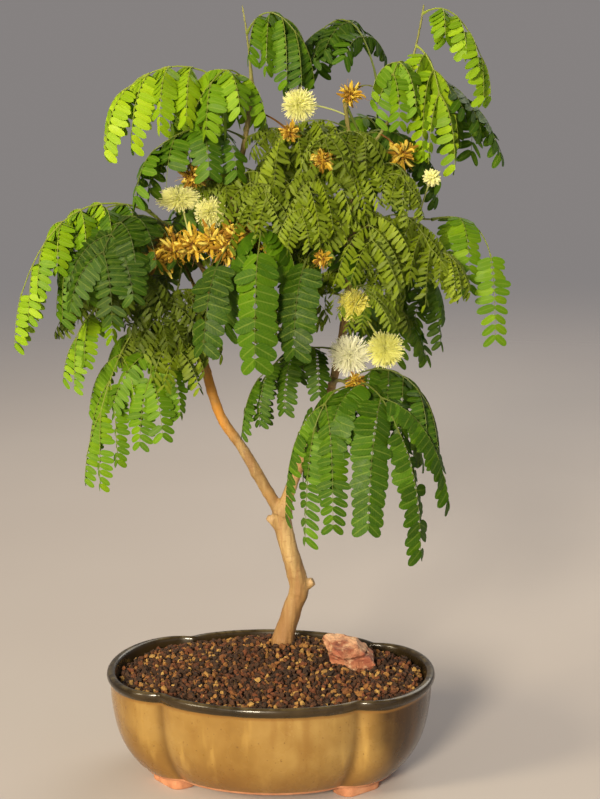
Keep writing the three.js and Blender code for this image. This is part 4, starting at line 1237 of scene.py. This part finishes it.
# A tight cluster of unopened buds
def make_bud(name, entry, material):
    random = np.random.default_rng(5)
    centre, radius = np.array(entry[2], float), entry[3]
    shape = Shape()
    add_flower_stalk(shape, entry, 0.2)
    for way in even_ways(BUDS, random):
        long = radius * random.uniform(0.42, 0.62)
        along = random.uniform(0.2, 1)
        add_bead(shape, centre + way * radius * 0.7, way, long, radius * 0.19, along=along, tone=0.5)
    return shape.object(f"flower_cluster_{name}", material, 60)


# A spent head: crumpled golden straps over brown cups and threads
def add_dried_head(shape, centre, radius, random):
    for way in even_ways(DRIED_BEADS, random):
        place = centre + way * radius * random.uniform(0.3, 0.55)
        lean = unit(way + random.normal(scale=0.5, size=3))
        add_bead(shape, place, lean, radius * 0.28, radius * 0.14, along=0.0, tone=random.uniform(0.1, 0.7))
    for radii, sides, count, pale in DRIED_STRANDS:
        for way in even_ways(count, random):
            start = centre + way * radius * 0.25
            knee = start + way * radius * random.uniform(0.35, 0.85)
            knee += random.normal(scale=radius * 0.22, size=3)
            end = knee + unit(way * 0.3 + random.normal(size=3)) * radius * random.uniform(0.3, 0.6)
            tone = min(1, pale + random.uniform(0, 0.65))
            add_thread(shape, start, knee, end, [size * radius / 8 for size in radii], sides, tone)


def make_dried(name, entry, material):
    random = np.random.default_rng(sum(map(ord, name)))
    shape = Shape()
    add_flower_stalk(shape, entry, 0.25)
    for offset in DRIED_GROUP.get(name, [[0, 0, 0]]):
        add_dried_head(shape, np.array(entry[2], float) + offset, entry[3], random)
    return shape.object(f"dried_cluster_{name}", material, 60)


def make_flowers():
    fresh = {name: stamen_material(f"stamens_{name}", *colours) for name, colours in STAMEN_COLOURS.items()}
    brown = dried_material()
    for name, entry in FLOWERS.items():
        if name.startswith("dried"):
            stands_for(make_dried(name, entry, brown), "flower_dried", f"flower_{name}")
        elif name == "bud":
            stands_for(make_bud(name, entry, fresh["cream"]), "flower_fresh", f"flower_{name}")
        else:
            puff = make_puff(name, entry, fresh[name.split("_")[0]])
            stands_for(puff, "flower_fresh", f"flower_{name}")
    for name, entry in SMALL_HEADS.items():
        rides_on_root(make_dried(name, entry, brown))


# A camera or light at a place, turned towards its aim
def aimed(name, data, place, aim):
    obj = linked(name, data)
    obj.location = placed(place)
    obj.rotation_euler = Vector(placed(aim) - placed(place)).to_track_quat("-Z", "Y").to_euler()
    return obj


def make_camera():
    turn = radians(CAMERA_TURN)
    right = np.array([cos(turn), sin(turn), 0])
    ahead = np.array([-sin(turn), cos(turn), 0])
    data = bpy.data.cameras.new("camera")
    data.sensor_fit = "VERTICAL"
    data.sensor_height = SENSOR_HEIGHT
    data.lens = CAMERA_LENS
    data.clip_start = NEAREST_SEEN_M
    place = -CAMERA_FAR * ahead + CAMERA_SHIFT * right + CAMERA_HIGH * UP
    bpy.context.scene.camera = aimed("camera", data, place, CAMERA_SHIFT * right + CAMERA_AIM * UP)


def make_studio():
    for name, place, aim, size, spread, watts, colour in LIGHTS:
        data = bpy.data.lights.new(name, "AREA")
        data.shape = "DISK"
        data.size = size
        data.spread = radians(spread)
        data.energy = watts
        data.color = colour
        aimed(name, data, place, aim)
    bpy.context.scene.view_settings.view_transform = "Standard"
    world = bpy.data.worlds.new("studio")
    world.use_nodes = True
    background = world.node_tree.nodes["Background"]
    background.inputs["Color"].default_value = WORLD_COLOUR
    background.inputs["Strength"].default_value = WORLD_STRENGTH
    bpy.context.scene.world = world
    mesh = bpy.data.meshes.new("floor")
    corners = [(x * FLOOR_HALF_M, y * FLOOR_HALF_M, 0) for x, y in ((-1, -1), (1, -1), (1, 1), (-1, 1))]
    mesh.from_pydata(corners, [], [(0, 1, 2, 3)])
    shown("floor", mesh, floor_material(), 30)


def finish_screens():
    for node, material in (("drain_screen", plastic_material()), ("screen_wire", wire_material())):
        for side in ("left", "right"):
            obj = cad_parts[f"{node}_{side}"]
            obj.data.materials.clear()
            obj.data.materials.append(material)


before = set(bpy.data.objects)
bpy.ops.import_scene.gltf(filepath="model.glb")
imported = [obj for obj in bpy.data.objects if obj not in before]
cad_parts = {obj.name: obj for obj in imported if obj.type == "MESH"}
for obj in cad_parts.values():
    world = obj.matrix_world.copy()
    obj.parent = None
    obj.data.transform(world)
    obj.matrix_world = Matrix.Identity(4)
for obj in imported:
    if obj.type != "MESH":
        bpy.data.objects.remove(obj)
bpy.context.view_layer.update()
pot_low, pot_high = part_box("pot")
POT_MIDDLE_M = np.array([(pot_low[0] + pot_high[0]) / 2, (pot_low[1] + pot_high[1]) / 2, 0.0])

make_camera()
make_studio()
stands_for(make_pot(), "pot_glaze", "pot")
finish_screens()
bed, grains = make_bed(), make_grains()
rides_on_root(grains)
stands_for(bed, "soil_granules", "soil")
make_rock()
make_trunk()
make_leaves()
make_flowers()
